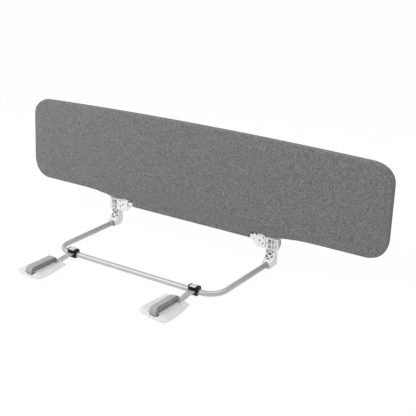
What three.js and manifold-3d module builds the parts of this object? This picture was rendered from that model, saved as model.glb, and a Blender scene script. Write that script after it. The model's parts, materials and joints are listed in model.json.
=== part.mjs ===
// A folding bed guard rail, in millimetres with +Z up.
// A padded fabric panel stands on two folding hinges. A bent tube frame slides under the mattress, and two
// straps with anchor plates hold it there. X runs along the panel, and the frame reaches toward -Y.
// Sizes are measured from the frame tube's axis (Z), the panel's front face (Y) and the rail's middle (X).
import * as THREE from "three";
import { mergeVertices } from "three/addons/utils/BufferGeometryUtils.js";
import Module from "manifold-3d";

const wasm = await Module();
wasm.setup();

// Shared clearances
const seatGap = 0.3; // between pieces that rest on each other
const runGap = 0.5; // between pieces that move past each other
const overrun = 2; // how far a cutting body reaches past the face it opens
const weldDistance = 1e-4; // corners nearer than this are one corner

// Frame tube
const frameTubeRadius = 9;
const frameTubeWall = 1.5;
const armSpacing = 336; // from the middle to each arm's axis
const barReach = 316.4; // from the panel's front face to the bar's axis
const frameBendRadius = 58;
const armInsertion = 3; // how far an arm passes the panel's front face inside its socket
const socketWall = 3.2;
const socketRadius = frameTubeRadius + seatGap + socketWall;
const floorDepth = socketRadius; // from the frame tube's axis down to the surface the rail stands on
const bendSteps = 8;

// Sides of the round pieces, by size
const screwSides = 8;
const pinSides = 12;
const bossSides = 16;
const collarSides = 24;
const tubeSides = 16;
const cornerSteps = 3; // straight pieces in a rounded corner
const ovalSteps = 4; // in each end of an oval

// Hinge heights, from the notch's top edge down
const notchTop = 91.5;
const columnTopGap = 3.5; // the column stays this far under the notch's top edge
const axleDrop = 8; // fold axis under the column's top
const boltDrop = 1.8; // lock bolt under the fold axis
const columnTop = notchTop - columnTopGap;
const axisHeight = columnTop - axleDrop;
const boltHeight = axisHeight - boltDrop;

// Hinge widths, from the arm's axis
const columnInside = 15; // column's inner side, from the arm's axis
const columnWidth = 34;
const foldGap = 1.5; // between the lug and the column
const lugWidth = 41.5;
const columnInner = armSpacing - columnInside;
const columnOuter = columnInner + columnWidth;
const lugOuter = columnInner - foldGap;
const lugInner = lugOuter - lugWidth;

// Panel outline
const panelLength = 1504;
const panelThickness = 20;
const panelTop = 424;
const shoulderDrop = 10.5; // the top edge is bowed: its ends lie lower than its middle
const wingRise = 11.1; // bottom edge outside the hinges, above the notch's top edge
const notchDepth = 21.7; // bottom edge between the hinges, under the notch's top edge
const wingBottom = notchTop + wingRise;
const apronBottom = notchTop - notchDepth;
const topCornerWidth = 84;
const topCornerHeight = 64;
const bottomCornerWidth = 72;
const bottomCornerHeight = 78;
const cornerEaseShare = 0.6; // how far a corner's handles reach along its sides
const notchSide = 22.5; // room in the notch beside the lug, for the release button
const notchPast = 13; // how far the notch's top edge passes the column
const notchInner = lugInner - notchSide;
const notchOuter = columnOuter + notchPast;
const notchRound = 6;
const slopeReach = 137; // from the notch's end to the wing's straight edge
const slopeSag = 0.2; // how far the slope's upper end lies under the wing's edge
const slopeLowerShares = [0.2, 0.5]; // handle at the notch's end, as shares of the slope's reach and rise
const slopeUpperShares = [0.53, 0.96];
const panelLeanDegrees = 3.96; // the panel leans outward at rest
const coverWall = 1.3;
const coverEdgeRound = 2.5;
const curveSteps = 6;

// Panel frame
const panelTubeRadius = 8;
const panelTubeWall = 1.2;
const panelTubeSides = 8;
const panelTubeGap = 0.7; // tube to the inside of the cover
const joinerHalfLength = 30;
const joinRise = 1.4; // straight tube under the joiner
const tubeJoinHeight = wingBottom + bottomCornerHeight + joinerHalfLength + joinRise;
const joinGap = 0.6; // between the two tube ends
const foamClearance = 1; // foam to tube
const foamLift = 4.6; // foam above the lower tube, clear of the screw heads

// Hinge column
const columnDepth = 13; // upper part, behind the front face
const rearStep = 9; // how much deeper the lower part is
const elbowDepth = columnDepth + rearStep;
const shoulderHeight = 45; // where the column steps back to the elbow's depth
const elbowRound = 34;
const elbowCorner = 10; // roundness of the elbow's two lower edges
const columnWall = 3;
const ribThickness = 2.4;
const socketReach = 20; // in front of the panel's front face
const socketLand = 2.5; // straight stretch of the socket at its mouth
const throatHeight = 38; // where the front face starts to curve forward to the socket
const throatHeightShare = 0.4;
const footLength = 39;
const rungDrop = 37; // rib between the square cells and the crossed cells, under the column's top
const upperRungDrop = 22;
const rungHeight = columnTop - rungDrop;
const upperRungHeight = columnTop - upperRungDrop;
const cellPostOffset = 23.3; // upright rib, from the column's inner side
const cellFloor = 16; // lowest point of the crossed cells
const crossCount = 2;
const stripWidth = 9; // solid strip beside the square cells
const stripSlotPlace = 5.2; // slot in the strip, from the column's inner side
const stripSlotDrop = 18; // under the column's top
const stripSlotRadius = 2.4;
const stripSlotTall = 6.8;
const stripSlotDepth = 5;

// Fold axle
const axleSetback = 9; // fold axis behind the column's upper part
const axisDepth = columnDepth + axleSetback;
const axleRadius = 4;
const barrelRadius = 8.5;
const axleHeadRadius = 6;
const axleHeadLength = 2.5;
const clipRadius = 6.5;
const clipThickness = 1.2;
const clipGrooveDepth = 0.8;

// Rear cover of the column, with its outer wing plate and cheek
const rearCoverBottom = 46;
const rearCoverTop = axisHeight - barrelRadius - overrun - runGap;
const wingPlateReach = 16; // past the column's outer side
const wingPlateFoot = 7;
const wingPlateThickness = 3;
const cheekWidth = 10;
const cheekFront = 4.5;
const cheekDrop = 45; // from the column's top down to the cheek's lower end
const cheekCorner = 8;
const cheekSlotPlace = 3.7; // from the column's outer side
const cheekSlotRadius = 1.5;
const upperSlotDrop = 9; // under the column's top
const upperSlotTall = 5;
const lowerSlotDrop = 26;
const lowerSlotTall = 10;
const rearCoverWall = 2;
const rearScrewSpacing = 17;
const rearScrewRadius = 1.6;
const rearScrewHeadRadius = 3.2;
const rearScrewHeadHeight = 1.8;
const rearScrewRecess = 2.2;
const rearScrewPillar = 4.6;

// Lug on the panel side
const lugTopGap = 4; // under the notch's top edge
const lugHeight = 39;
const lugTopDrop = 0.5;
const lugHeelRise = 2.5; // beside the column, above the lug's underside
const lugNoseRise = 11.5; // at its inner end
const lugChinReach = 10; // slanted part of the underside
const lugHeelReach = 7.5;
const lugTop = notchTop - lugTopGap;
const lugBottom = lugTop - lugHeight;
const gussetReach = 11; // fin under the button, past the lug's inner end
const gussetTip = 2;
const lugFront = 4; // front face of the housing behind its cover
const lugBack = 15;
const lugBarrelLength = 26.5;
const lugBarrelInner = lugOuter - lugBarrelLength;
const webPlace = 6; // from the lug's inner end
const webWidth = 28;
const webInner = lugInner + webPlace;
const webOuter = webInner + webWidth;
const webFront = 5;
const lugCoverProud = 1.2; // how far the cover stands in front of the panel's face
const bossRadius = 7;
const finHeight = 9;
const finWidth = 7;
const finThickness = 1.4;
const innerScrewPlace = 19.5; // from the lug's inner end
const innerScrewDrop = 6.1; // under the lock bolt
const upperScrewPlace = 7; // from the lug's outer end
const upperScrewRise = 6.9; // above the lock bolt
const lowerScrewPlace = 8.9;
const lowerScrewDrop = 14.2;
const lugScrewRadius = 1.7;
const lugScrewHeadRadius = 3;
const lugScrewHeadHeight = 2;
const lugScrewHoleRadius = 3.5;
const lugScrewSeat = 1.4; // skin left under a screw head
const lugScrewLength = 11;
const webScrewSpacing = 16;
const webScrewRadius = 2;
const webScrewHeadRadius = 3.8;
const webScrewHeadHeight = 2.6;
const webScrewGrip = 12;

// Lock bolt, its spring and the release button
const boltDepth = columnDepth / 2;
const boltRadius = 3.5;
const boltEngagement = 6.4; // how far the bolt reaches into the lug at rest
const boltLength = 18;
const boltFlangeRadius = 4.4;
const boltFlangeLength = 2;
const boltBossRadius = 6.2;
const chamberRadius = 4.9;
const chamberStart = 8; // from the column's inner side
const springWire = 0.9;
const springTurns = 6;
const springSteps = 6;
const springSides = 4;
const capLength = 4;
const buttonLength = 20.5;
const buttonHeight = 14.5;
const buttonThickness = 9.5;
const buttonRound = 3;
const buttonPocketDepth = 8;
const buttonSocketDepth = 10;
const stemCollarRadius = 4.4;
const stemCollarLength = 2;
const stemCollarPlace = 20; // from the lug's inner end
const panelSweepDegrees = 178; // how far the lug turns past the bolt
const troughSteps = 16;

// Arm screw under the socket
const armScrewPlace = 8; // in front of the panel's front face
const armScrewRadius = 2;
const armScrewHeadRadius = 4;
const armScrewHeadHeight = 1.4;
const armScrewRecess = 0.6;

// Strap clamp on the bar, its sizes measured from the bar's axis
const clampWidth = 38;
const clampEndGap = 2.5; // from the clamp to the frame's bend
const clampSpacing = armSpacing - frameBendRadius - clampWidth / 2 - clampEndGap;
const clampWall = 3.5;
const clampBack = frameTubeRadius + clampWall;
const clampNoseWall = 5.5;
const clampNose = frameTubeRadius + clampNoseWall;
const clampCorner = 6;
const recessFloor = clampBack;
const recessDepth = 6.5;
const clampTop = recessFloor + recessDepth;
const noseDrop = 2.4;
const noseTop = clampTop - noseDrop;
const slotFloor = 2.9;
const slotRoom = 1.6; // free height above the webbing in its slot
const jawWidth = 27;
const jawTip = 29;
const jawTipTop = 2.2;
const jawTipThickness = 1.2;
const jawFootHalf = 8;
const leverWidth = 22;
const recessWidth = leverWidth + 2 * runGap;
const leverPinBack = 4.5;
const leverPinRise = 3.5; // above the recess's floor
const leverPinHeight = recessFloor + leverPinRise;
const leverPinRadius = 1.75;
const leverPinGrip = 4.5; // at each end, in the clamp's side wall
const leverPinLength = recessWidth + 2 * leverPinGrip;
const leverEyeRadius = 3.2;
const leverThickness = 2.6;
const leverReach = 13.4;
const leverRise = 4.8; // top face above the pin

// Webbing and anchor plate
const webbingWidth = 26;
const webbingThickness = 1.7;
const webbingPitch = 2.8;
const webbingLoops = 5;
const slotTop = slotFloor + webbingThickness + slotRoom;
const woundHeight = 11.5; // middle of the wound webbing, above the bar's axis
const woundFar = 110; // centre of the turns next to the bar, from the bar's axis
const woundNear = 199; // centre of the outer turns
const innerLoopOffset = 4;
const outerLoopOffset = innerLoopOffset + ((2 * webbingLoops - 1) * webbingPitch) / 2;
const turnSteps = 8;
const runSteps = 3;
const leadSteps = 6;
const plateThickness = 2;
const plateHalfWidth = 54;
const plateFarHalfWidth = 46;
const plateSlotEnd = 3; // room in the slot past the outermost turn
const plateRim = 6.5; // between the slot and the plate's outer edge
const plateFarRim = 8; // tips past the turns next to the bar
const plateSlotOuter = woundNear + outerLoopOffset + plateSlotEnd;
const plateNear = plateSlotOuter + plateRim;
const plateFar = woundFar - outerLoopOffset - plateFarRim;
const plateShoulder = 30; // how far before its outer edge the plate's sides start to turn in
const plateCornerWidth = 9;
const plateCornerRise = 15;
const plateSag = 7; // how far its side edges hang under its middle
const plateRimDrop = 8;
const plateFarCorner = 7;
const slotClearance = 6; // beside the webbing in the plate
const plateStepsAcross = 10;
const plateStepsAlong = 12;
const plateCurveSteps = 10;
const rollDegrees = { left: 2, right: 8 }; // how far each wound strap is tipped about its length

// Materials
const material = (color, roughness, metalness = 0) =>
  new THREE.MeshStandardMaterial({ color, roughness, metalness });
const fabric = material(0x6b6c6e, 0.95);
const foam = material(0xd9d6cc, 0.95);
const aluminium = material(0xb9babb, 0.35, 0.9);
const steel = material(0xa8aaad, 0.3, 1);
const springSteel = material(0x8f9193, 0.35, 1);
const whitePlastic = material(0xe6e7e6, 0.45);
const blackPlastic = material(0x17181a, 0.5);
const translucentPlastic = material(0xeef0f0, 0.3);
const webbing = material(0x8d9094, 0.9);

// A closed geometry as a solid that can be joined and cut.
function solid(geometry) {
  const bare = geometry.index ? geometry.toNonIndexed() : geometry.clone();
  bare.deleteAttribute("normal");
  bare.deleteAttribute("uv");
  const merged = mergeVertices(bare, weldDistance);
  return new wasm.Manifold(
    new wasm.Mesh({
      numProp: 3,
      vertProperties: new Float32Array(merged.attributes.position.array),
      triVerts: new Uint32Array(merged.index.array),
    }),
  );
}

function geometryOf(body) {
  const { numProp, numVert, vertProperties, triVerts } = body.getMesh();
  const places = new Float32Array(numVert * 3);
  for (let i = 0; i < numVert; i++)
    places.set(vertProperties.subarray(i * numProp, i * numProp + 3), i * 3);
  const indexed = new THREE.BufferGeometry();
  indexed.setAttribute("position", new THREE.BufferAttribute(places, 3));
  indexed.setIndex(new THREE.BufferAttribute(triVerts, 1));
  const flat = indexed.toNonIndexed();
  flat.computeVertexNormals();
  return flat;
}

const join = (bodies) => bodies.reduce((whole, body) => whole.add(body));
const cut = (body, tools) => tools.reduce((rest, tool) => rest.subtract(tool), body);

function place(name, shape, finish, parent) {
  const geometry = shape.isBufferGeometry ? shape : geometryOf(shape);
  const mesh = new THREE.Mesh(geometry, finish);
  mesh.name = name;
  parent.add(mesh);
  return mesh;
}

const outline = (points) => new THREE.Shape(points.map(([u, v]) => new THREE.Vector2(u, v)));

// An outline in (y, z) drawn out along X.
function alongX(shape, from, to, options = {}) {
  const turn = new THREE.Matrix4().makeBasis(
    new THREE.Vector3(0, 1, 0),
    new THREE.Vector3(0, 0, 1),
    new THREE.Vector3(1, 0, 0),
  );
  const drawn = new THREE.ExtrudeGeometry(shape, { depth: to - from, bevelEnabled: false, ...options });
  return solid(drawn.applyMatrix4(turn).translate(from, 0, 0));
}

// An outline in (x, z) drawn out along Y.
function alongY(shape, from, to, options = {}) {
  const drawn = new THREE.ExtrudeGeometry(shape, { depth: to - from, bevelEnabled: false, ...options });
  return solid(drawn.rotateX(Math.PI / 2).translate(0, to, 0));
}

// An outline in (x, y) drawn out along Z.
function alongZ(shape, from, to, options = {}) {
  const drawn = new THREE.ExtrudeGeometry(shape, { depth: to - from, bevelEnabled: false, ...options });
  return solid(drawn.translate(0, 0, from));
}

// A rectangle with rounded corners, and an upright oval
function rounded([u0, u1], [v0, v1], radius) {
  const shape = new THREE.Shape();
  shape.absarc(u1 - radius, v0 + radius, radius, -Math.PI / 2, 0, false);
  shape.absarc(u1 - radius, v1 - radius, radius, 0, Math.PI / 2, false);
  shape.absarc(u0 + radius, v1 - radius, radius, Math.PI / 2, Math.PI, false);
  shape.absarc(u0 + radius, v0 + radius, radius, Math.PI, (3 * Math.PI) / 2, false);
  return shape;
}

function oval([u, v], radius, tall) {
  const rise = tall / 2 - radius;
  const shape = new THREE.Shape();
  shape.absarc(u, v + rise, radius, 0, Math.PI, false);
  shape.absarc(u, v - rise, radius, Math.PI, 2 * Math.PI, false);
  return shape;
}

function rod(axis, radius, from, to, [u, v], sides = bossSides) {
  const body = new THREE.CylinderGeometry(radius, radius, to - from, sides);
  const middle = (from + to) / 2;
  if (axis === "x") return solid(body.rotateZ(Math.PI / 2).translate(middle, u, v));
  if (axis === "y") return solid(body.translate(u, middle, v));
  return solid(body.rotateX(Math.PI / 2).translate(u, v, middle));
}

function block([x0, x1], [y0, y1], [z0, z1]) {
  const body = new THREE.BoxGeometry(x1 - x0, y1 - y0, z1 - z0);
  return solid(body.translate((x0 + x1) / 2, (y0 + y1) / 2, (z0 + z1) / 2));
}

// A path given by its stations, with a chosen normal at each, for sections that must not twist by themselves.
class StationPath extends THREE.Curve {
  constructor(stations, normals) {
    super();
    this.stations = stations;
    this.normals = normals;
  }
  getSpacedPoints() {
    return this.stations;
  }
  computeFrenetFrames() {
    const last = this.stations.length - 1;
    const tangents = this.stations.map((_, i) =>
      this.stations[Math.min(i + 1, last)].clone().sub(this.stations[Math.max(i - 1, 0)]).normalize(),
    );
    const normals = tangents.map((tangent, i) => {
      const chosen = Array.isArray(this.normals) ? this.normals[i] : this.normals;
      return chosen.clone().addScaledVector(tangent, -chosen.dot(tangent)).normalize();
    });
    const binormals = tangents.map((tangent, i) => tangent.clone().cross(normals[i]));
    return { tangents, normals, binormals };
  }
}

function sweep(shape, stations, normals) {
  return new THREE.ExtrudeGeometry(shape, {
    steps: stations.length - 1,
    extrudePath: new StationPath(stations, normals),
  });
}

function ring(radius, wall, sides) {
  const circle = (size) =>
    Array.from({ length: sides }, (_, i) => {
      const angle = (i / sides) * 2 * Math.PI;
      return new THREE.Vector2(size * Math.cos(angle), size * Math.sin(angle));
    });
  const shape = new THREE.Shape(circle(radius));
  if (wall) shape.holes.push(new THREE.Path(circle(radius - wall)));
  return shape;
}

// Bent frame tube
function frameTube() {
  const side = [];
  side.push([armSpacing, armInsertion]);
  for (let i = 0; i <= bendSteps; i++) {
    const angle = (-i / bendSteps) * (Math.PI / 2);
    side.push([
      armSpacing - frameBendRadius + frameBendRadius * Math.cos(angle),
      frameBendRadius - barReach + frameBendRadius * Math.sin(angle),
    ]);
  }
  const half = side.map(([x, y]) => new THREE.Vector3(x, y, 0));
  const mirrored = half.map((p) => new THREE.Vector3(-p.x, p.y, 0)).reverse();
  const section = ring(frameTubeRadius, frameTubeWall, tubeSides);
  const tube = solid(sweep(section, [...half, ...mirrored], new THREE.Vector3(0, 0, 1)));
  const holes = [-armSpacing, armSpacing].map((x) =>
    rod("z", armScrewRadius + seatGap, -frameTubeRadius - overrun, 0, [x, -armScrewPlace], screwSides),
  );
  return cut(tube, holes);
}

// Right half of the panel's rim, from the bottom middle to the top middle, set in from the outline.
function rimHalf(inset, bottom) {
  const half = panelLength / 2 - inset;
  const top = panelTop - inset;
  const shoulder = top - shoulderDrop;
  const topWide = topCornerWidth - inset;
  const topHigh = topCornerHeight - inset;
  const lowWide = bottomCornerWidth - inset;
  const lowHigh = bottomCornerHeight - inset;
  const path = new THREE.Path();
  path.moveTo(0, bottom);
  path.lineTo(half - lowWide, bottom);
  lowerCorner(path, half, bottom, lowWide, lowHigh);
  path.lineTo(half, shoulder - topHigh);
  upperCorner(path, half, shoulder, topWide, topHigh);
  path.quadraticCurveTo((half - topWide) / 2, top, 0, top);
  return path.getPoints(curveSteps);
}

function lowerCorner(path, half, bottom, wide, high) {
  path.bezierCurveTo(
    half - wide * (1 - cornerEaseShare),
    bottom,
    half,
    bottom + high * (1 - cornerEaseShare),
    half,
    bottom + high,
  );
}

function upperCorner(path, half, shoulder, wide, high) {
  path.bezierCurveTo(
    half,
    shoulder - high * (1 - cornerEaseShare),
    half - wide * (1 - cornerEaseShare),
    shoulder,
    half - wide,
    shoulder,
  );
}

// Whole outline of the panel with its two hinge notches, set in by a wall.
function panelOutline(inset, notchDrop) {
  const half = panelLength / 2 - inset;
  const top = panelTop - inset;
  const shoulder = top - shoulderDrop;
  const bottom = wingBottom + inset;
  const apron = apronBottom + inset;
  const inner = notchInner - inset;
  const outer = notchOuter + inset;
  const lip = notchTop - notchDrop;
  const foot = notchTop + inset;
  const rise = bottom - slopeSag - foot;
  const path = new THREE.Path();
  path.moveTo(inner - notchRound, apron);
  path.quadraticCurveTo(inner, apron, inner, apron + notchRound);
  path.lineTo(inner, lip);
  path.lineTo(outer, lip);
  path.lineTo(outer, foot);
  path.bezierCurveTo(
    outer + slopeReach * slopeLowerShares[0],
    foot + rise * slopeLowerShares[1],
    outer + slopeReach * slopeUpperShares[0],
    foot + rise * slopeUpperShares[1],
    outer + slopeReach,
    foot + rise,
  );
  path.lineTo(half - bottomCornerWidth, bottom);
  lowerCorner(path, half, bottom, bottomCornerWidth, bottomCornerHeight);
  path.lineTo(half, shoulder - topCornerHeight);
  upperCorner(path, half, shoulder, topCornerWidth, topCornerHeight);
  path.quadraticCurveTo((half - topCornerWidth) / 2, top, 0, top);
  return bothSides(path.getPoints(curveSteps));
}

// A closed outline from its right half, whose last point lies in the middle.
function bothSides(right) {
  const left = right.slice(0, -1).map((p) => new THREE.Vector2(-p.x, p.y));
  return new THREE.Shape([...right, ...left.reverse()]);
}

const panelTubeInset = coverWall + panelTubeGap + panelTubeRadius;
const panelTubeDepth = panelThickness / 2;
const lowerTubeHeight = wingBottom + panelTubeInset;

function fabricCover() {
  const skin = new THREE.ExtrudeGeometry(panelOutline(coverEdgeRound, -coverEdgeRound), {
    depth: panelThickness - 2 * coverEdgeRound,
    bevelThickness: coverEdgeRound,
    bevelSize: coverEdgeRound,
    bevelSegments: 2,
  });
  const outside = solid(skin.rotateX(Math.PI / 2).translate(0, panelThickness - coverEdgeRound, 0));
  const inside = alongY(panelOutline(coverWall, overrun), coverWall, panelThickness - coverWall);
  return outside.subtract(inside);
}

function foamCore() {
  const inset = panelTubeInset + panelTubeRadius + foamClearance;
  const right = rimHalf(inset, lowerTubeHeight + panelTubeRadius + foamLift);
  const skin = coverWall + seatGap;
  return alongY(bothSides(right.slice(1)), skin, panelThickness - skin);
}

function apronCore() {
  const skin = coverWall + seatGap;
  const side = notchInner - skin - notchRound / 2;
  const low = apronBottom + skin;
  const high = lowerTubeHeight - panelTubeRadius - foamClearance;
  const shape = outline([
    [-side + notchRound, low],
    [side - notchRound, low],
    [side, low + notchRound],
    [side, high],
    [-side, high],
    [-side, low + notchRound],
  ]);
  return alongY(shape, skin, panelThickness - skin);
}

// The panel's tubes, cut where the upper and the lower one meet.
function panelTube(upper) {
  const rim = rimHalf(panelTubeInset, lowerTubeHeight);
  const seam = tubeJoinHeight + (upper ? joinGap / 2 : -joinGap / 2);
  const end = new THREE.Vector2(panelLength / 2 - panelTubeInset, seam);
  const half = upper ? [end, ...rim.filter((p) => p.y > seam)] : [...rim.filter((p) => p.y < seam), end];
  const right = half.map((p) => new THREE.Vector3(p.x, panelTubeDepth, p.y));
  const middle = upper ? right[right.length - 1] : right[0];
  const outer = right.filter((p) => p !== middle);
  const ordered = upper ? outer : [...outer].reverse();
  const mirrored = ordered.map((p) => new THREE.Vector3(-p.x, p.y, p.z)).reverse();
  const stations = [...ordered, middle, ...mirrored];
  const section = ring(panelTubeRadius, panelTubeWall, panelTubeSides);
  return solid(sweep(section, stations, new THREE.Vector3(0, 1, 0)));
}

const webScrewPlaces = [-1, 1].map((sign) => (webInner + webOuter) / 2 + (sign * webScrewSpacing) / 2);

function lowerPanelTube() {
  const top = lowerTubeHeight + panelTubeRadius + overrun;
  const holes = [-1, 1].flatMap((sign) =>
    webScrewPlaces.map((x) =>
      rod("z", webScrewRadius + seatGap, wingBottom, top, [sign * x, panelTubeDepth], screwSides),
    ),
  );
  return cut(panelTube(false), holes);
}

function tubeJoiner() {
  const radius = panelTubeRadius - panelTubeWall - runGap - seatGap;
  const x = panelLength / 2 - panelTubeInset;
  const low = tubeJoinHeight - joinerHalfLength;
  return rod("z", radius, low, tubeJoinHeight + joinerHalfLength, [x, panelTubeDepth], panelTubeSides);
}

// Hinge column: an elbow that holds the arm's end, with an open lattice in front
const foot = -floorDepth;

function columnProfile() {
  const shape = new THREE.Shape();
  const throat = throatHeight - socketRadius;
  shape.moveTo(-socketReach, foot);
  shape.lineTo(footLength - socketReach - elbowRound / 2, foot);
  shape.quadraticCurveTo(elbowDepth, foot, elbowDepth, foot + elbowRound);
  shape.lineTo(elbowDepth, shoulderHeight);
  shape.lineTo(columnDepth, shoulderHeight);
  shape.lineTo(columnDepth, columnTop);
  shape.lineTo(0, columnTop);
  shape.lineTo(0, throatHeight);
  shape.bezierCurveTo(
    0,
    throatHeight - throat * throatHeightShare,
    -socketReach * throatHeightShare,
    socketRadius + throat * throatHeightShare,
    -socketReach + socketLand,
    socketRadius,
  );
  shape.lineTo(-socketReach, socketRadius);
  return shape;
}

// The column's full body: its profile, with the elbow's two lower edges rounded.
function columnMass() {
  const sides = [columnInner, columnOuter];
  const front = rounded(sides, [foot, columnTop + elbowCorner + overrun], elbowCorner);
  const depth = [-socketReach - overrun, elbowDepth + overrun];
  const rounding = alongY(front, ...depth, { curveSegments: cornerSteps });
  return alongX(columnProfile(), ...sides).intersect(rounding);
}

function columnRibs() {
  const inner = columnInner;
  const outer = columnOuter;
  const half = ribThickness / 2;
  const depth = [-socketReach, elbowDepth];
  const bars = [rungHeight, upperRungHeight].map((z) => block([inner, outer], depth, [z - half, z + half]));
  bars.push(
    block([inner, outer], depth, [columnTop - columnWall, columnTop]),
    block([inner + cellPostOffset - half, inner + cellPostOffset + half], depth, [rungHeight, columnTop]),
    block([inner, inner + stripWidth], depth, [rungHeight, columnTop]),
  );
  const rowHeight = (rungHeight - cellFloor) / crossCount;
  const wide = outer - inner - 2 * columnWall;
  for (let row = 0; row < crossCount; row++)
    for (const way of [-1, 1]) {
      const long = Math.hypot(wide, rowHeight);
      const tilt = Math.atan2(rowHeight, wide) * way;
      const bar = new THREE.BoxGeometry(long, elbowDepth + socketReach, ribThickness);
      bar.rotateY(-tilt);
      bar.translate(
        (inner + outer) / 2,
        (elbowDepth - socketReach) / 2,
        cellFloor + rowHeight * (row + 1 / 2),
      );
      bars.push(solid(bar));
    }
  return join(bars);
}

function column() {
  const mass = columnMass();
  const back = columnDepth - columnWall;
  const lowBack = elbowDepth - columnWall;
  const pocket = alongX(
    outline([
      [-socketReach - overrun, cellFloor],
      [lowBack, cellFloor],
      [lowBack, shoulderHeight - columnWall],
      [back, shoulderHeight - columnWall],
      [back, columnTop - columnWall],
      [-overrun, columnTop - columnWall],
      [-socketReach - overrun, columnTop - columnWall],
    ]),
    columnInner + columnWall,
    columnOuter - columnWall,
  );
  const ribs = columnRibs().intersect(mass);
  const bolt = [boltDepth, boltHeight];
  const axis = [axisDepth, axisHeight];
  const sides = [columnInner, columnOuter];
  const through = [columnInner - overrun, columnOuter + overrun];
  // The spring lies in a trough that is open to the front between the ribs.
  const trough = rod("x", boltBossRadius, ...sides, bolt, pinSides).intersect(
    block(sides, [boltDepth, columnDepth], [boltHeight - boltBossRadius, boltHeight + boltBossRadius]),
  );
  const barrel = rod("x", barrelRadius, ...sides, axis);
  const bridge = block(sides, [columnDepth - columnWall, axisDepth], [axisHeight - barrelRadius, columnTop]);
  const shell = join([mass.subtract(pocket), ribs, trough, barrel, bridge]);
  const arm = [armSpacing, 0];
  const screw = [armSpacing, -armScrewPlace];
  const recess = foot + armScrewRecess + armScrewHeadHeight;
  const slotMiddle = [columnInner + stripSlotPlace, columnTop - stripSlotDrop];
  const slot = oval(slotMiddle, stripSlotRadius, stripSlotTall);
  const mouth = -socketReach - overrun;
  const chamber = columnInner + chamberStart;
  return cut(shell, [
    rod("y", frameTubeRadius + seatGap, mouth, armInsertion + seatGap, arm, collarSides),
    rod("x", axleRadius + seatGap, ...through, axis, pinSides),
    rod("x", boltRadius + seatGap, columnInner - overrun, chamber + overrun, bolt, pinSides),
    rod("x", chamberRadius, chamber, columnOuter + overrun, bolt, pinSides),
    rod("z", armScrewRadius + seatGap, foot - overrun, 0, screw, screwSides),
    rod("z", armScrewHeadRadius + seatGap, foot - overrun, recess, screw, pinSides),
    alongY(slot, -overrun, stripSlotDepth, { curveSegments: ovalSteps }),
    ...rearScrewHoles(),
  ]);
}

const columnMiddle = (columnInner + columnOuter) / 2;
const rearScrewPlaces = [-1, 1].map((sign) => columnMiddle + (sign * rearScrewSpacing) / 2);
const rearScrewHeight = (rearCoverBottom + rearCoverTop) / 2;
const rearCoverFront = columnDepth + seatGap;
const rearScrewTip = columnDepth - columnWall;

function rearScrewHoles() {
  const start = rearScrewTip - overrun;
  const end = elbowDepth + overrun;
  return rearScrewPlaces.map((x) =>
    rod("y", rearScrewRadius + seatGap, start, end, [x, rearScrewHeight], screwSides),
  );
}

function armScrew() {
  const at = [armSpacing, -armScrewPlace];
  const seat = foot + armScrewRecess;
  const head = rod("z", armScrewHeadRadius, seat, seat + armScrewHeadHeight - seatGap, at, pinSides);
  const tip = frameTubeWall - frameTubeRadius + overrun;
  return head.add(rod("z", armScrewRadius, seat, tip, at, screwSides));
}

// Rear cover: a box behind the column, an outer wing plate, and a cheek over the end of the spring's bore
function rearCover() {
  const inner = columnInner + seatGap;
  const outer = columnOuter + seatGap;
  const box = block([inner, columnOuter], [rearCoverFront, elbowDepth], [rearCoverBottom, rearCoverTop]);
  const hollow = block(
    [inner + rearCoverWall, columnOuter - rearCoverWall],
    [rearCoverFront - overrun, elbowDepth - rearCoverWall],
    [rearCoverBottom + rearCoverWall, rearCoverTop - rearCoverWall],
  );
  const wing = alongY(
    outline([
      [columnOuter - rearCoverWall, rearCoverBottom],
      [columnOuter + wingPlateFoot, rearCoverBottom],
      [columnOuter + wingPlateReach, rearCoverTop],
      [columnOuter + wingPlateReach, columnTop],
      [outer, columnTop],
      [outer, rearCoverTop],
      [columnOuter - rearCoverWall, rearCoverTop],
    ]),
    rearCoverFront,
    rearCoverFront + wingPlateThickness,
  );
  const low = columnTop - cheekDrop;
  const side = outer + cheekWidth;
  const cheek = alongY(
    outline([
      [outer, low],
      [side - cheekCorner, low],
      [side - cheekCorner / 3, low + cheekCorner / 3],
      [side, low + cheekCorner],
      [side, columnTop],
      [outer, columnTop],
    ]),
    cheekFront,
    rearCoverFront + wingPlateThickness,
  );
  const cheekHollow = alongY(
    outline([
      [outer - overrun, low + rearCoverWall],
      [side - cheekCorner, low + rearCoverWall],
      [side - rearCoverWall, low + cheekCorner],
      [side - rearCoverWall, columnTop - rearCoverWall],
      [outer - overrun, columnTop - rearCoverWall],
    ]),
    cheekFront + rearCoverWall,
    rearCoverFront,
  );
  const slots = [
    [upperSlotDrop, upperSlotTall],
    [lowerSlotDrop, lowerSlotTall],
  ].map(([drop, tall]) => {
    const shape = oval([columnOuter + cheekSlotPlace, columnTop - drop], cheekSlotRadius, tall);
    const depth = [cheekFront - overrun, cheekFront + rearCoverWall + overrun];
    return alongY(shape, ...depth, { curveSegments: ovalSteps });
  });
  const pillars = rearScrewPlaces.map((x) =>
    rod("y", rearScrewPillar, rearCoverFront, elbowDepth, [x, rearScrewHeight], pinSides),
  );
  const past = elbowDepth + overrun;
  const recess = elbowDepth - rearScrewRecess;
  const holes = rearScrewPlaces.flatMap((x) => [
    rod("y", rearScrewRadius + seatGap, rearCoverFront - overrun, past, [x, rearScrewHeight], screwSides),
    rod("y", rearScrewHeadRadius + seatGap, recess, past, [x, rearScrewHeight], pinSides),
  ]);
  const reach = columnOuter + wingPlateReach + overrun;
  const headRoom = rod("x", axleHeadRadius + runGap, columnOuter, reach, [axisDepth, axisHeight]);
  const shell = join([box.subtract(hollow), wing, cheek.subtract(cheekHollow), ...pillars]);
  return cut(shell, [...holes, ...slots, headRoom]);
}

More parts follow.
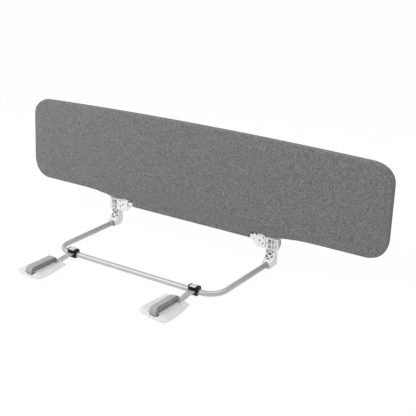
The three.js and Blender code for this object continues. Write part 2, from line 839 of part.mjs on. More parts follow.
function rearScrew(x) {
  const at = [x, rearScrewHeight];
  const seat = elbowDepth - rearScrewRecess + seatGap;
  const head = rod("y", rearScrewHeadRadius, seat, seat + rearScrewHeadHeight, at, pinSides);
  return head.add(rod("y", rearScrewRadius, rearScrewTip, seat + rearScrewHeadHeight / 2, at, screwSides));
}

// Axle and its clip
const clipPlace = lugBarrelInner - runGap - clipThickness;

function axlePin() {
  const axis = [axisDepth, axisHeight];
  const end = clipPlace - clipThickness;
  const face = columnOuter + seatGap;
  const shaft = rod("x", axleRadius, end, face + axleHeadLength / 2, axis, pinSides);
  const head = rod("x", axleHeadRadius, face, face + axleHeadLength, axis, bossSides);
  const grooveEnd = clipPlace + clipThickness + seatGap;
  const groove = rod("x", axleRadius + overrun, clipPlace - seatGap, grooveEnd, axis, pinSides);
  const core = rod("x", axleRadius - clipGrooveDepth, end, columnInner, axis, pinSides);
  return shaft.subtract(groove).add(core).add(head);
}

function axleClip() {
  const shape = ring(clipRadius, 0, bossSides);
  const mouth = axleRadius - clipGrooveDepth + seatGap;
  const hole = new THREE.Path();
  hole.absarc(0, 0, mouth, 0, 2 * Math.PI, true);
  shape.holes.push(hole);
  const plain = alongX(shape, clipPlace, clipPlace + clipThickness);
  const gap = block(
    [clipPlace - overrun, clipPlace + clipThickness + overrun],
    [-mouth / 2, mouth / 2],
    [-clipRadius - overrun, 0],
  );
  return plain.subtract(gap).translate([0, axisDepth, axisHeight]);
}

// Lug housing on the panel, with the trough that the lock bolt's tip runs in
function lugOutline() {
  const fin = boltHeight - buttonHeight / 2 - runGap;
  return outline([
    [lugInner - gussetReach, fin - gussetTip],
    [lugInner, lugBottom + lugNoseRise],
    [lugInner + lugChinReach, lugBottom],
    [lugOuter - lugHeelReach, lugBottom],
    [lugOuter, lugBottom + lugHeelRise],
    [lugOuter, lugTop],
    [lugInner, lugTop - lugTopDrop],
    [lugInner, fin],
    [lugInner - gussetReach, fin],
  ]);
}

function boltTrough() {
  const across = boltDepth - axisDepth;
  const down = boltHeight - axisHeight;
  const radius = Math.hypot(across, down);
  const half = boltRadius + runGap;
  const rest = Math.atan2(down, across) + 2 * Math.PI;
  const margin = Math.asin(half / radius);
  const from = rest - margin;
  const to = rest + THREE.MathUtils.degToRad(panelSweepDegrees) + margin;
  const shape = new THREE.Shape();
  shape.absarc(0, 0, radius + half, from, to, false);
  shape.absarc(0, 0, radius - half, to, from, true);
  const deep = lugOuter - boltEngagement - (columnInner - lugOuter) - runGap;
  const drawn = alongX(shape, deep, lugOuter + overrun, { curveSegments: troughSteps });
  return drawn.translate([0, axisDepth, axisHeight]);
}

function buttonPocket() {
  const side = buttonThickness / 2 + runGap;
  const tall = buttonHeight / 2 + runGap;
  return block(
    [lugInner - overrun, lugInner + buttonPocketDepth],
    [boltDepth - side, boltDepth + side],
    [boltHeight - tall, boltHeight + tall],
  );
}

const lugScrewPlaces = [
  ["a", lugInner + innerScrewPlace, boltHeight - innerScrewDrop],
  ["b", lugOuter - upperScrewPlace, boltHeight + upperScrewRise],
  ["c", lugOuter - lowerScrewPlace, boltHeight - lowerScrewDrop],
];
const coverBack = lugFront - seatGap;
const coverFront = -lugCoverProud;

function stemHoles() {
  const stem = [boltDepth, boltHeight];
  const end = lugOuter + overrun;
  return [
    rod("x", boltRadius + seatGap, lugInner, end, stem, pinSides),
    rod("x", stemCollarRadius + seatGap, lugInner + stemCollarPlace - seatGap, end, stem, pinSides),
  ];
}

function lugHousing() {
  const axis = [axisDepth, axisHeight];
  const body = alongY(lugOutline(), lugFront, lugBack);
  const barrel = rod("x", barrelRadius, lugBarrelInner, lugOuter, axis);
  const bridge = block(
    [lugBarrelInner, lugOuter],
    [lugBack - overrun, axisDepth],
    [axisHeight - barrelRadius, lugTop - lugTopDrop],
  );
  const webFoot = lugTop - lugTopDrop - overrun;
  const web = block([webInner, webOuter], [webFront, lugBack], [webFoot, lowerTubeHeight]);
  const saddle = rod(
    "x",
    panelTubeRadius + seatGap,
    webInner - overrun,
    webOuter + overrun,
    [panelTubeDepth, lowerTubeHeight],
  );
  return cut(join([body, barrel, bridge, web]), [
    saddle,
    boltTrough(),
    buttonPocket(),
    ...stemHoles(),
    rod("x", axleRadius + seatGap, lugBarrelInner - overrun, lugOuter + overrun, axis, pinSides),
    ...lugScrewPlaces.map(([, x, z]) =>
      rod("y", lugScrewRadius + seatGap, lugFront - overrun, lugBack + overrun, [x, z], screwSides),
    ),
    ...webScrewPlaces.map((x) =>
      rod("z", webScrewRadius + seatGap, lugTop, lowerTubeHeight, [x, panelTubeDepth], screwSides),
    ),
  ]);
}

function lugCover() {
  const plate = alongY(lugOutline(), coverFront, coverBack);
  const [, x, z] = lugScrewPlaces[1];
  const bossFront = coverFront - lugCoverProud / 2;
  // Behind the panel's face the boss stops under the cloth, and in front of it its rim laps over the cloth.
  const rim = rod("y", bossRadius, bossFront, -seatGap, [x, z], collarSides);
  const stub = rod("y", bossRadius, bossFront, coverBack, [x, z], collarSides).intersect(
    block([x - bossRadius, lugOuter], [bossFront, coverBack], [z - bossRadius, notchTop - seatGap]),
  );
  const finFoot = lugTop - lugTopDrop;
  const fin = alongY(
    outline([
      [lugInner, finFoot - finHeight],
      [lugInner + finWidth, finFoot - finHeight],
      [lugInner + finWidth, finFoot],
      [lugInner - finWidth / 2, finFoot + finHeight],
    ]),
    coverFront - finThickness / 2,
    coverFront + finThickness / 2,
  );
  const holes = lugScrewPlaces.flatMap(([, u, v]) => [
    rod("y", lugScrewRadius + seatGap, coverFront - overrun, coverBack + overrun, [u, v], screwSides),
    rod("y", lugScrewHoleRadius, coverFront - overrun, coverBack - lugScrewSeat, [u, v], pinSides),
  ]);
  return cut(join([plate, rim, stub, fin]), [...holes, buttonPocket(), boltTrough(), ...stemHoles()]);
}

function lugScrew(x, z) {
  const seat = coverBack - lugScrewSeat - seatGap;
  const middle = seat - lugScrewHeadHeight / 2;
  const head = rod("y", lugScrewHeadRadius, seat - lugScrewHeadHeight, seat, [x, z], screwSides);
  return head.add(rod("y", lugScrewRadius, middle, seat + lugScrewLength, [x, z], screwSides));
}

function webScrew(x) {
  const at = [x, panelTubeDepth];
  const seat = lowerTubeHeight + panelTubeRadius + seatGap;
  const low = lowerTubeHeight - panelTubeRadius - webScrewGrip + seatGap;
  const head = rod("z", webScrewHeadRadius, seat, seat + webScrewHeadHeight, at, screwSides);
  return head.add(rod("z", webScrewRadius, low, seat + webScrewHeadHeight / 2, at, screwSides));
}

// Lock bolt, spring, cap and release button
const boltTip = lugOuter - boltEngagement;
const boltEnd = boltTip + boltLength;
const capFace = columnOuter - capLength;

function lockBolt() {
  const axis = [boltDepth, boltHeight];
  const shaft = rod("x", boltRadius, boltTip, boltEnd, axis, pinSides);
  return shaft.add(rod("x", boltFlangeRadius, boltEnd - boltFlangeLength, boltEnd, axis, pinSides));
}

function lockSpring() {
  const from = boltEnd + seatGap;
  const to = capFace - seatGap;
  const radius = chamberRadius - seatGap - springWire;
  const last = springTurns * springSteps;
  const lift = to - from - springWire;
  const stations = Array.from({ length: last + 1 }, (_, i) => {
    const angle = (i / springSteps) * 2 * Math.PI;
    return new THREE.Vector3(
      from + springWire / 2 + (lift * i) / last,
      boltDepth + radius * Math.cos(angle),
      boltHeight + radius * Math.sin(angle),
    );
  });
  return solid(sweep(ring(springWire / 2, 0, springSides), stations, new THREE.Vector3(1, 0, 0)));
}

function springCap() {
  return rod("x", chamberRadius - seatGap, capFace, columnOuter, [boltDepth, boltHeight], pinSides);
}

function buttonStem() {
  const axis = [boltDepth, boltHeight];
  const start = lugInner - seatGap - buttonSocketDepth;
  const shaft = rod("x", boltRadius, start, boltTip - seatGap, axis, pinSides);
  const collar = lugInner + stemCollarPlace;
  return shaft.add(rod("x", stemCollarRadius, collar, collar + stemCollarLength, axis, pinSides));
}

function releaseButton() {
  const outer = lugInner - seatGap;
  const inner = outer - buttonLength;
  const side = buttonThickness / 2;
  const tall = buttonHeight / 2;
  const face = outline([
    [boltDepth - side + buttonRound, boltHeight - tall],
    [boltDepth + side, boltHeight - tall],
    [boltDepth + side, boltHeight + tall],
    [boltDepth - side + buttonRound, boltHeight + tall],
    [boltDepth - side, boltHeight + tall - buttonRound],
    [boltDepth - side, boltHeight - tall + buttonRound],
  ]);
  const body = alongX(face, inner, outer);
  const taper = alongY(
    outline([
      [inner - overrun, boltHeight - tall - overrun],
      [inner + buttonRound, boltHeight - tall - overrun],
      [inner, boltHeight + tall],
      [inner - overrun, boltHeight + tall],
    ]),
    boltDepth - side - overrun,
    boltDepth + side + overrun,
  );
  const deep = outer - buttonSocketDepth - seatGap;
  const socket = rod("x", boltRadius + seatGap, deep, outer + overrun, [boltDepth, boltHeight], pinSides);
  return body.subtract(taper).subtract(socket);
}

// Strap clamp, its lever and pin, modelled about the bar's axis
function clampBody() {
  const half = clampWidth / 2;
  const upper = alongX(
    outline([
      [clampBack, 0],
      [clampBack, clampTop / 2],
      [clampBack / 2, clampTop],
      [-clampNose / 2, clampTop],
      [-clampNose, noseTop],
      [-clampNose, slotTop],
      [-frameTubeRadius - overrun, 0],
    ]),
    -half,
    half,
  );
  const plan = rounded([-half, half], [-clampNose, clampBack], clampCorner);
  const rounding = alongZ(plan, -overrun, clampTop + overrun, { curveSegments: cornerSteps });
  const cap = upper.intersect(rounding);
  const jaw = alongX(
    outline([
      [clampBack, clampTop / 2],
      [clampBack, foot / 2],
      [jawFootHalf, foot],
      [-jawFootHalf, foot],
      [-clampNose, foot + slotFloor],
      [-jawTip, jawTipTop - jawTipThickness],
      [-jawTip, jawTipTop],
      [-clampNose, slotFloor],
      [-clampNose / 2, slotFloor],
      [0, clampTop / 2],
    ]),
    -jawWidth / 2,
    jawWidth / 2,
  );
  const slotSide = webbingWidth / 2 + runGap;
  const recess = recessWidth / 2;
  const wall = clampNose - 2 * seatGap;
  const through = [-half - overrun, half + overrun];
  return cut(cap.add(jaw), [
    rod("x", frameTubeRadius + runGap, ...through, [0, 0], collarSides),
    block(
      [-slotSide, slotSide],
      [-jawTip - overrun, -frameTubeRadius - runGap - seatGap],
      [slotFloor, slotTop],
    ),
    block([-recess, recess], [overrun - wall, clampBack + overrun], [recessFloor, clampTop + overrun]),
    block([-recess, recess], [-clampNose - overrun, clampBack], [noseTop, clampTop + overrun]),
    rod("x", leverPinRadius + seatGap, ...through, [leverPinBack, leverPinHeight], pinSides),
  ]);
}

function leverPin() {
  const half = leverPinLength / 2;
  return rod("x", leverPinRadius, -half, half, [leverPinBack, leverPinHeight], pinSides);
}

function camLever() {
  const side = leverWidth / 2;
  const top = leverPinHeight + leverRise;
  const under = top - leverThickness;
  const plate = alongX(
    outline([
      [leverPinBack + leverEyeRadius, leverPinHeight],
      [leverPinBack + leverEyeRadius / 2, top - seatGap],
      [0, top],
      [-leverReach / 2, top],
      [-leverReach, top - seatGap],
      [-leverReach - leverThickness / 2, under],
      [-leverReach, under - seatGap],
      [-leverReach / 2, under],
      [leverPinBack - leverEyeRadius, leverPinHeight],
    ]),
    -side,
    side,
  );
  const eye = rod("x", leverEyeRadius, -side, side, [leverPinBack, leverPinHeight], bossSides);
  const hole = [leverPinBack, leverPinHeight];
  const bore = rod("x", leverPinRadius + seatGap, -side - overrun, side + overrun, hole, pinSides);
  return plate.add(eye).subtract(bore);
}

// Webbing: one strip from the clamp, wound inward round the anchor plate
function webbingRoute() {
  const thick = webbingThickness / 2;
  const start = [frameTubeRadius + 2 * runGap + seatGap, slotFloor + seatGap + thick];
  const lip = [jawTip, jawTipTop + seatGap + thick + seatGap];
  const low = woundHeight - outerLoopOffset;
  const points = [start, [clampNose, slotFloor + seatGap + thick], lip];
  for (let i = 1; i < leadSteps; i++) {
    const share = i / leadSteps;
    const ease = share * share * (3 - 2 * share);
    points.push([jawTip + (woundFar - jawTip) * share, lip[1] + (low - lip[1]) * ease]);
  }
  let offset = outerLoopOffset;
  for (let loop = 0; loop < webbingLoops; loop++) {
    run(points, woundFar, woundNear, woundHeight - offset);
    turn(points, woundNear, offset, offset - webbingPitch / 2, 1);
    offset -= webbingPitch / 2;
    run(points, woundNear, woundFar, woundHeight + offset);
    if (loop < webbingLoops - 1) turn(points, woundFar, offset, offset - webbingPitch / 2, -1);
    offset -= webbingPitch / 2;
  }
  return points;
}

function run(points, from, to, height) {
  for (let i = 0; i < runSteps; i++) points.push([from + ((to - from) * i) / (runSteps - 1), height]);
}

// Half a turn from one run to the next, on a circle that both runs touch.
function turn(points, centre, before, after, way) {
  const radius = (before + after) / 2;
  const middle = woundHeight + (way * (after - before)) / 2;
  for (let i = 1; i < turnSteps; i++) {
    const angle = (i / turnSteps) * Math.PI;
    points.push([centre + way * radius * Math.sin(angle), middle - way * radius * Math.cos(angle)]);
  }
}

// Least distance between two stretches of the strip's middle line that aren't neighbours, less its thickness.
function leastGap(points) {
  let least = Infinity;
  for (let i = 0; i < points.length; i++)
    for (let j = 0; j < points.length - 1; j++) {
      if (Math.abs(i - j) < turnSteps) continue;
      const [a, b, p] = [points[j], points[j + 1], points[i]].map(([u, v]) => new THREE.Vector2(u, v));
      const along = b.clone().sub(a);
      const share = THREE.MathUtils.clamp(p.clone().sub(a).dot(along) / along.lengthSq(), 0, 1);
      least = Math.min(least, p.distanceTo(a.addScaledVector(along, share)));
    }
  return least - webbingThickness;
}

function webbingStrip(roll) {
  const route = webbingRoute();
  const axis = new THREE.Vector3(0, 1, 0);
  const centre = new THREE.Vector3(0, 0, woundHeight);
  const stations = [];
  const normals = [];
  for (const [reach, height] of route) {
    const share = THREE.MathUtils.smoothstep(reach, jawTip, woundFar - outerLoopOffset);
    const point = new THREE.Vector3(0, -reach, height).sub(centre);
    stations.push(point.applyAxisAngle(axis, roll * share).add(centre));
    normals.push(new THREE.Vector3(1, 0, 0).applyAxisAngle(axis, roll * share));
  }
  const wide = webbingWidth / 2;
  const thick = webbingThickness / 2;
  const section = outline([
    [-wide, -thick],
    [wide, -thick],
    [wide, thick],
    [-wide, thick],
  ]);
  return solid(sweep(section, stations, normals));
}

// Anchor plate: a thin arched sheet with a slot and a notch that the webbing passes through
function anchorPlate(roll) {
  const long = plateNear - plateFar;
  const sheet = new THREE.BoxGeometry(
    2 * plateHalfWidth,
    long,
    plateThickness,
    plateStepsAcross,
    plateStepsAlong,
    1,
  );
  sheet.translate(0, -plateFar - long / 2, 0);
  const places = sheet.attributes.position;
  const slotStart = woundNear + innerLoopOffset - webbingThickness / 2;
  for (let i = 0; i < places.count; i++) {
    const across = places.getX(i) / plateHalfWidth;
    const beyond = THREE.MathUtils.clamp((-places.getY(i) - slotStart) / (plateNear - slotStart), 0, 1);
    places.setZ(i, places.getZ(i) - plateSag * across * across - plateRimDrop * beyond * beyond);
  }
  const wide = plateHalfWidth;
  const corner = wide - plateCornerWidth;
  const right = new THREE.Path();
  right.moveTo(plateFarHalfWidth - plateFarCorner, -plateFar);
  right.quadraticCurveTo(plateFarHalfWidth, -plateFar, plateFarHalfWidth, -plateFar - plateFarCorner);
  right.quadraticCurveTo(wide, -(plateFar + plateNear) / 2, wide, plateShoulder - plateNear);
  right.quadraticCurveTo(wide, plateCornerRise - plateNear, corner, plateCornerRise / 2 - plateNear);
  right.quadraticCurveTo(corner / 2, -plateNear, 0, -plateNear);
  const edge = bothSides(right.getPoints(plateCurveSteps));
  const tall = plateSag + plateRimDrop + plateThickness;
  const blank = solid(sheet).intersect(alongZ(edge, -2 * tall, tall));
  const sides = [-webbingWidth / 2 - slotClearance, webbingWidth / 2 + slotClearance];
  const inside = innerLoopOffset / 4;
  const slot = block(sides, [-plateSlotOuter, -woundNear - inside], [-2 * tall, tall]);
  const notch = block(sides, [-woundFar + inside, -plateFar + overrun], [-2 * tall, tall]);
  // The plate rests on the innermost run of webbing under it.
  const sagInside = plateSag * (webbingWidth / plateHalfWidth / 2) ** 2;
  const runBelow = innerLoopOffset + (webbingPitch - webbingThickness - plateThickness) / 2;
  const rest = seatGap + sagInside - runBelow;
  return blank
    .subtract(slot)
    .subtract(notch)
    .translate([0, 0, rest])
    .rotate([0, THREE.MathUtils.radToDeg(roll), 0])
    .translate([0, 0, woundHeight]);
}

// Assembly
const rail = new THREE.Group();
const frame = new THREE.Group();
rail.add(frame);

const panel = new THREE.Group();
panel.position.set(0, axisDepth, axisHeight);
panel.rotation.x = -THREE.MathUtils.degToRad(panelLeanDegrees);
frame.add(panel);
const upright = new THREE.Group(); // the panel's pieces as they are before it leans
upright.position.set(0, -axisDepth, -axisHeight);
panel.add(upright);

place("frame_tube", frameTube(), aluminium, frame);
place("fabric_cover", fabricCover(), fabric, upright);
place("foam_core", foamCore(), foam, upright);
place("apron_core", apronCore(), foam, upright);
place("panel_upper_tube", panelTube(true), steel, upright);
place("panel_lower_tube", lowerPanelTube(), steel, upright);

for (const [label, way] of [
  ["right", 1],
  ["left", -1],
]) {
  const hinge = new THREE.Group();
  hinge.scale.x = way;
  frame.add(hinge);
  place(`hinge_column_${label}`, column(), whitePlastic, hinge);
  place(`column_rear_cover_${label}`, rearCover(), whitePlastic, hinge);
  rearScrewPlaces.forEach((x, i) =>
    place(`rear_cover_screw_${label}_${i + 1}`, rearScrew(x), steel, hinge),
  );
  place(`arm_screw_${label}`, armScrew(), steel, hinge);
  place(`hinge_axle_${label}`, axlePin(), steel, hinge);
  place(`axle_clip_${label}`, axleClip(), springSteel, hinge);
  place(`lock_bolt_${label}`, lockBolt(), steel, hinge);
  place(`lock_spring_${label}`, lockSpring(), springSteel, hinge);
  place(`spring_cap_${label}`, springCap(), whitePlastic, hinge);

  const lug = new THREE.Group();
  lug.scale.x = way;
  upright.add(lug);
  place(`lug_housing_${label}`, lugHousing(), whitePlastic, lug);
  place(`lug_cover_${label}`, lugCover(), whitePlastic, lug);
  for (const [mark, x, z] of lugScrewPlaces) place(`lug_screw_${label}_${mark}`, lugScrew(x, z), steel, lug);
  webScrewPlaces.forEach((x, i) => place(`tube_screw_${label}_${i + 1}`, webScrew(x), steel, lug));
  place(`tube_joiner_${label}`, tubeJoiner(), steel, lug);
  place(`release_button_${label}`, releaseButton(), whitePlastic, lug);
  place(`button_stem_${label}`, buttonStem(), steel, lug);

  const strap = new THREE.Group();
  strap.position.set(way * clampSpacing, -barReach, 0);
  strap.scale.x = way;
  frame.add(strap);
  const roll = way * THREE.MathUtils.degToRad(rollDegrees[label]);
  place(`strap_clamp_${label}`, clampBody(), blackPlastic, strap);
  place(`clamp_lever_${label}`, camLever(), whitePlastic, strap);
  place(`lever_pin_${label}`, leverPin(), steel, strap);
  place(`webbing_${label}`, webbingStrip(roll), webbing, strap);
  place(`anchor_plate_${label}`, anchorPlate(roll), translucentPlastic, strap);
}
console.log(`least gap of the wound webbing to itself: ${leastGap(webbingRoute()).toFixed(2)} mm`);

// The origin lies on the surface the rail stands on, under the middle of its box.
frame.updateMatrixWorld(true);
const box = new THREE.Box3().setFromObject(frame, true);
frame.position.set(0, -(box.min.y + box.max.y) / 2, -box.min.z);

export default rail;
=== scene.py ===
import json
import math

import bmesh
import bpy
from mathutils import Matrix, Vector, noise

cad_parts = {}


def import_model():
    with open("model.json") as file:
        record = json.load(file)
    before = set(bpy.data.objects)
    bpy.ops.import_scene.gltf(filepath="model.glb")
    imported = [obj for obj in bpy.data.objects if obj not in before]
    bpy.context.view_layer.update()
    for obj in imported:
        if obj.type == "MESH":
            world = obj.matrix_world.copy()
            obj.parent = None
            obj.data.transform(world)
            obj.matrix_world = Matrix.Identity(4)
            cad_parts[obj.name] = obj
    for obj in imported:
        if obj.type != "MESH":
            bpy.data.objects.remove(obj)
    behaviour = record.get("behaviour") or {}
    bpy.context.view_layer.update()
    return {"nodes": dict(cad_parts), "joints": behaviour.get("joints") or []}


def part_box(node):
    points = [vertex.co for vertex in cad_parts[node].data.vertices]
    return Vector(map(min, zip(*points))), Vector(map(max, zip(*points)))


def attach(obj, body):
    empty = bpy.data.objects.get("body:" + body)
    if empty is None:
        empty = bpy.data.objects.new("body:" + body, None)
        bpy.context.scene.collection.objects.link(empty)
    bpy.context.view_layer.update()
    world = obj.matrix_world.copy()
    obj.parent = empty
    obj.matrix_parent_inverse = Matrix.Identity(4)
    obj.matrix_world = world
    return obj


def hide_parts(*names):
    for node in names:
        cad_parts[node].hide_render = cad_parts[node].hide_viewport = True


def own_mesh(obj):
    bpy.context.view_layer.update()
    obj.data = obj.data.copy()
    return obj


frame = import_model()

MM = 0.001
SIDES = (("right", 1), ("left", -1))
joints = {joint["name"]: joint for joint in frame["joints"]}

# How the panel stands: its front face before the fold axle, and its lean
AXLE_BEHIND = 22 * MM
LEAN = math.radians(3.96)

# Places that the frame gives
fold_axis = Vector(joints["panel_fold"]["pos_m"])
tube_low, tube_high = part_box("frame_tube")
TUBE_RADIUS = (tube_high[2] - tube_low[2]) / 2
AXIS_Z = (tube_high[2] + tube_low[2]) / 2
BAR_Y = tube_low[1] + TUBE_RADIUS
ARM_X = tube_high[0] - TUBE_RADIUS
ARM_END_Y = tube_high[1]
FRONT_Y = fold_axis.y - AXLE_BEHIND

# Frame tube
BEND_RADIUS = 58 * MM
BEND_STEPS = 16
TUBE_SIDES = 32

# Panel outline, from the middle of the rail and the frame tube's axis
PANEL_HALF = 752 * MM
PANEL_THICK = 20 * MM
PANEL_TOP = 424 * MM
SHOULDER_DROP = 10.5 * MM
WING_BOTTOM = 102.6 * MM
APRON_BOTTOM = 69.8 * MM
TOP_CORNER = (84 * MM, 64 * MM)
BOTTOM_CORNER = (72 * MM, 78 * MM)
CORNER_EASE_SHARE = 0.6
CORNER_STEPS = 14
CROWN_STEPS = 24
NOTCH_INNER = 255.5 * MM
NOTCH_OUTER = 368 * MM
NOTCH_TOP = 91.5 * MM
NOTCH_ROUND = 6 * MM
NOTCH_STEPS = 4
SLOPE_REACH = 137 * MM
SLOPE_SAG = 0.2 * MM
SLOPE_LOWER_SHARES = (0.2, 0.5)
SLOPE_UPPER_SHARES = (0.53, 0.96)
SLOPE_STEPS = 12

# Panel cover, its filling and its slack
COVER_EDGE = 6 * MM
COVER_EDGE_SEGMENTS = 5
COVER_SHARP = math.radians(60)
COVER_VOXEL = 5.5 * MM
HELD_RIM = 9 * MM
HELD_EDGE = 1.5 * MM  # the edge band is held up to this near to either face
CLOTH_QUALITY = 4
CLOTH_STRETCH = 40
CLOTH_BEND = 3
FILL_PRESSURE = 4
FILL_FRAMES = 20
SWELL_CAP = 3.2 * MM
BACK_SHARE = 0.35  # the folded panel's back passes close behind the hinge elbows
CROWN_REACH = 70 * MM
SLACK_WIDE = 0.5 * MM
SLACK_WIDE_PITCH = (7, 9, 4)  # noise cells per metre along, up and through the panel
SLACK_FINE = 0.2 * MM
SLACK_FINE_PITCH = (19, 24, 4)
SLACK_FINE_SHIFT = 5

# Seams on the rim, and near-black sheets in the notches as painted shade in the gap above the release button
SEAM_DEPTH = 12.6 * MM
SEAM_RADIUS = 0.75 * MM
SEAM_START = 4 * MM
NOTCH_SHADE_INSET = 0.4 * MM
NOTCH_SHADE_OUTER = 277.4 * MM
NOTCH_SHADE_DEPTHS = (14.0 * MM, 14.7 * MM)
NOTCH_SHADE_HEIGHTS = (75 * MM, 91.2 * MM)

# Webbing, from the bar's axis
CLAMP_X = 256.5 * MM
WEB_WIDTH = 25.6 * MM
WEB_THICK = 1.6 * MM
WEB_PITCH = 2.8 * MM
WEB_LOOPS = 5
WEB_MIDDLE = 11.5 * MM
WEB_FAR = 110 * MM
WEB_NEAR = 199 * MM
WEB_INNER = 4 * MM
WEB_OUTER = WEB_INNER + (2 * WEB_LOOPS - 1) * WEB_PITCH / 2
WEB_START = (10.3 * MM, 4.05 * MM)
WEB_MOUTH = (14.5 * MM, 4.05 * MM)
WEB_LIP = (29 * MM, 3.65 * MM)
WEB_FLAT_SHARES = (0.55, 0, -0.55)
LEAD_STEPS = 14
RUN_STEPS = 14
TURN_STEPS = 18
ROLL_DEGREES = {"left": 2, "right": 8}

# Unevenness of the wound webbing: sideways drift and a ripple in and out, with noise cells per metre.
# The shifts make the two straps differ.
WEB_DRIFT = 0.5 * MM
WEB_DRIFT_PITCH = 9
WEB_DRIFT_SHIFT = 3
WEB_RIPPLE = 0.12 * MM
WEB_RIPPLE_PITCH = 26
WEB_RIPPLE_SHIFT = 5

# Rear cover: past this distance from the middle its colour is darker, as painted shade on the wing
WING_SHADE_SPLIT = 366.2 * MM

# Lock spring
SPRING_WIRE = 0.9 * MM
SPRING_TURNS = 6
SPRING_STEPS = 16
SPRING_SIDES = 8

# Edges of the nodes that keep their shape
FLAT_ANGLE = math.radians(1)
EASED_ANGLE = math.radians(32)
EASED_SEGMENTS = 2

# Camera, fitted to the photograph, in metres from the frame tube's axis and the panel's front face
CAMERA_PLACE = Vector((1770.0, -2404.0, 1245.5)) * MM
CAMERA_TARGET = Vector((85.4, 0, 143.1)) * MM
CAMERA_LENS = 78.55
SENSOR = 36
CLIP_END = 120

# Studio
FLOOR_HALF = 40.0
FLOOR_SHADE = 0.95
FLOOR_WHITE = 0.9
WORLD_LIGHT = 0.62
KEY_LAMP = {"place": (-2.0, -2.2, 2.4), "target": (0, 0.1, 0.2), "size": 2.2, "power": 72}
TOP_LAMP = {"place": (0.8, 0.4, 3.0), "target": (0, 0.1, 0.1), "size": 2.5, "power": 40}


# Shader helpers
class Shader:
    """A material's node tree with one Principled shader, built by short calls."""

    def __init__(self, name, **sockets):
        self.material = bpy.data.materials.new(name)
        self.material.use_nodes = True
        self.tree = self.material.node_tree
        self.bsdf = self.tree.nodes["Principled BSDF"]
        for key, value in sockets.items():
            self.bsdf.inputs[key.replace("_", " ")].default_value = value
        self.coord = self.tree.nodes.new("ShaderNodeTexCoord")

    def node(self, kind, **values):
        made = self.tree.nodes.new(kind)
        for key, value in values.items():
            if hasattr(made, key):
                setattr(made, key, value)
            else:
                made.inputs[key.replace("_", " ")].default_value = value
        return made

    def link(self, out, into):
        self.tree.links.new(out, into)

    def scaled(self, source, scale):
        mapping = self.node("ShaderNodeMapping")
        mapping.inputs["Scale"].default_value = scale
        self.link(self.coord.outputs[source], mapping.inputs["Vector"])
        return mapping.outputs["Vector"]

    def noise(self, scale, detail=2.0, stretch=(1, 1, 1), source="Object"):
        made = self.node("ShaderNodeTexNoise", Scale=scale, Detail=detail)
        self.link(self.scaled(source, stretch), made.inputs["Vector"])
        return made.outputs["Fac"]

    def wave(self, scale, axis, source="Object"):
        made = self.node("ShaderNodeTexWave", wave_type="BANDS", bands_direction=axis, wave_profile="SIN")
        made.inputs["Scale"].default_value = scale
        self.link(self.coord.outputs[source], made.inputs["Vector"])
        return made.outputs["Fac"]

    def math(self, operation, a, b):
        made = self.node("ShaderNodeMath", operation=operation)
        for value, socket in ((a, made.inputs[0]), (b, made.inputs[1])):
            if isinstance(value, (int, float)):
                socket.default_value = value
            else:
                self.link(value, socket)
        return made.outputs[0]

    def blend(self, *parts):
        """Sum of values, each taken with its share."""
        total = None
        for value, share in parts:
            part = self.math("MULTIPLY", value, share)
            total = part if total is None else self.math("ADD", total, part)
        return total

    def ramp(self, value, stops):
        made = self.node("ShaderNodeValToRGB")
        ramp = made.color_ramp
        while len(ramp.elements) < len(stops):
            ramp.elements.new(0.5)
        for element, (place, color) in zip(ramp.elements, stops):
            element.position = place
            element.color = (*color, 1) if isinstance(color, tuple) else (color, color, color, 1)
        self.link(value, made.inputs["Fac"])
        return made.outputs["Color"]

    def bump(self, height, distance, strength, after=None):
        made = self.node("ShaderNodeBump", Strength=strength, Distance=distance)
        self.link(height, made.inputs["Height"])
        if after:
            self.link(after, made.inputs["Normal"])
        return made.outputs["Normal"]

    def color(self, value):
        self.link(value, self.bsdf.inputs["Base Color"])

    def roughness(self, value):
        self.link(value, self.bsdf.inputs["Roughness"])

    def normal(self, value):
        self.link(value, self.bsdf.inputs["Normal"])


def melange_cloth(name, dark, light):
    """Heathered knit: light and dark flecks of yarn over a fine loop relief."""
    shader = Shader(name, Roughness=0.95)
    shader.bsdf.inputs["Specular IOR Level"].default_value = 0.12
    shader.bsdf.inputs["Sheen Weight"].default_value = 0.1
    shader.bsdf.inputs["Sheen Roughness"].default_value = 0.6
    flecks = shader.noise(scale=300, stretch=(1, 1, 1.2))
    fine = shader.noise(scale=900)
    clouds = shader.noise(scale=120, detail=1.0)
    mixed = shader.blend((flecks, 0.6), (fine, 0.25), (clouds, 0.15))
    shader.color(shader.ramp(mixed, [(0.38, dark), (0.5, (dark + light) / 2.1), (0.62, light)]))
    loops = shader.math("MULTIPLY", shader.wave(110, "X"), shader.wave(150, "Z"))
    relief = shader.bump(loops, distance=0.3 * MM, strength=0.55)
    shader.normal(shader.bump(fine, distance=0.22 * MM, strength=0.5, after=relief))
    return shader.material


def moulded_plastic(name, color, roughness, grain=0.06, specular=0.45):
    """Moulded plastic with a fine spark-eroded grain and slightly uneven gloss."""
    shader = Shader(name)
    shader.bsdf.inputs["Specular IOR Level"].default_value = specular
    tone = shader.noise(scale=60, detail=3.0)
    low = tuple(c * 0.93 for c in color)
    shader.color(shader.ramp(tone, [(0.3, low), (0.7, color)]))
    gloss = shader.noise(scale=180)
    shader.roughness(shader.ramp(gloss, [(0.3, roughness - 0.06), (0.7, roughness + 0.06)]))
    shader.normal(shader.bump(shader.noise(scale=2600, detail=1.0), distance=grain * MM, strength=0.5))
    return shader.material


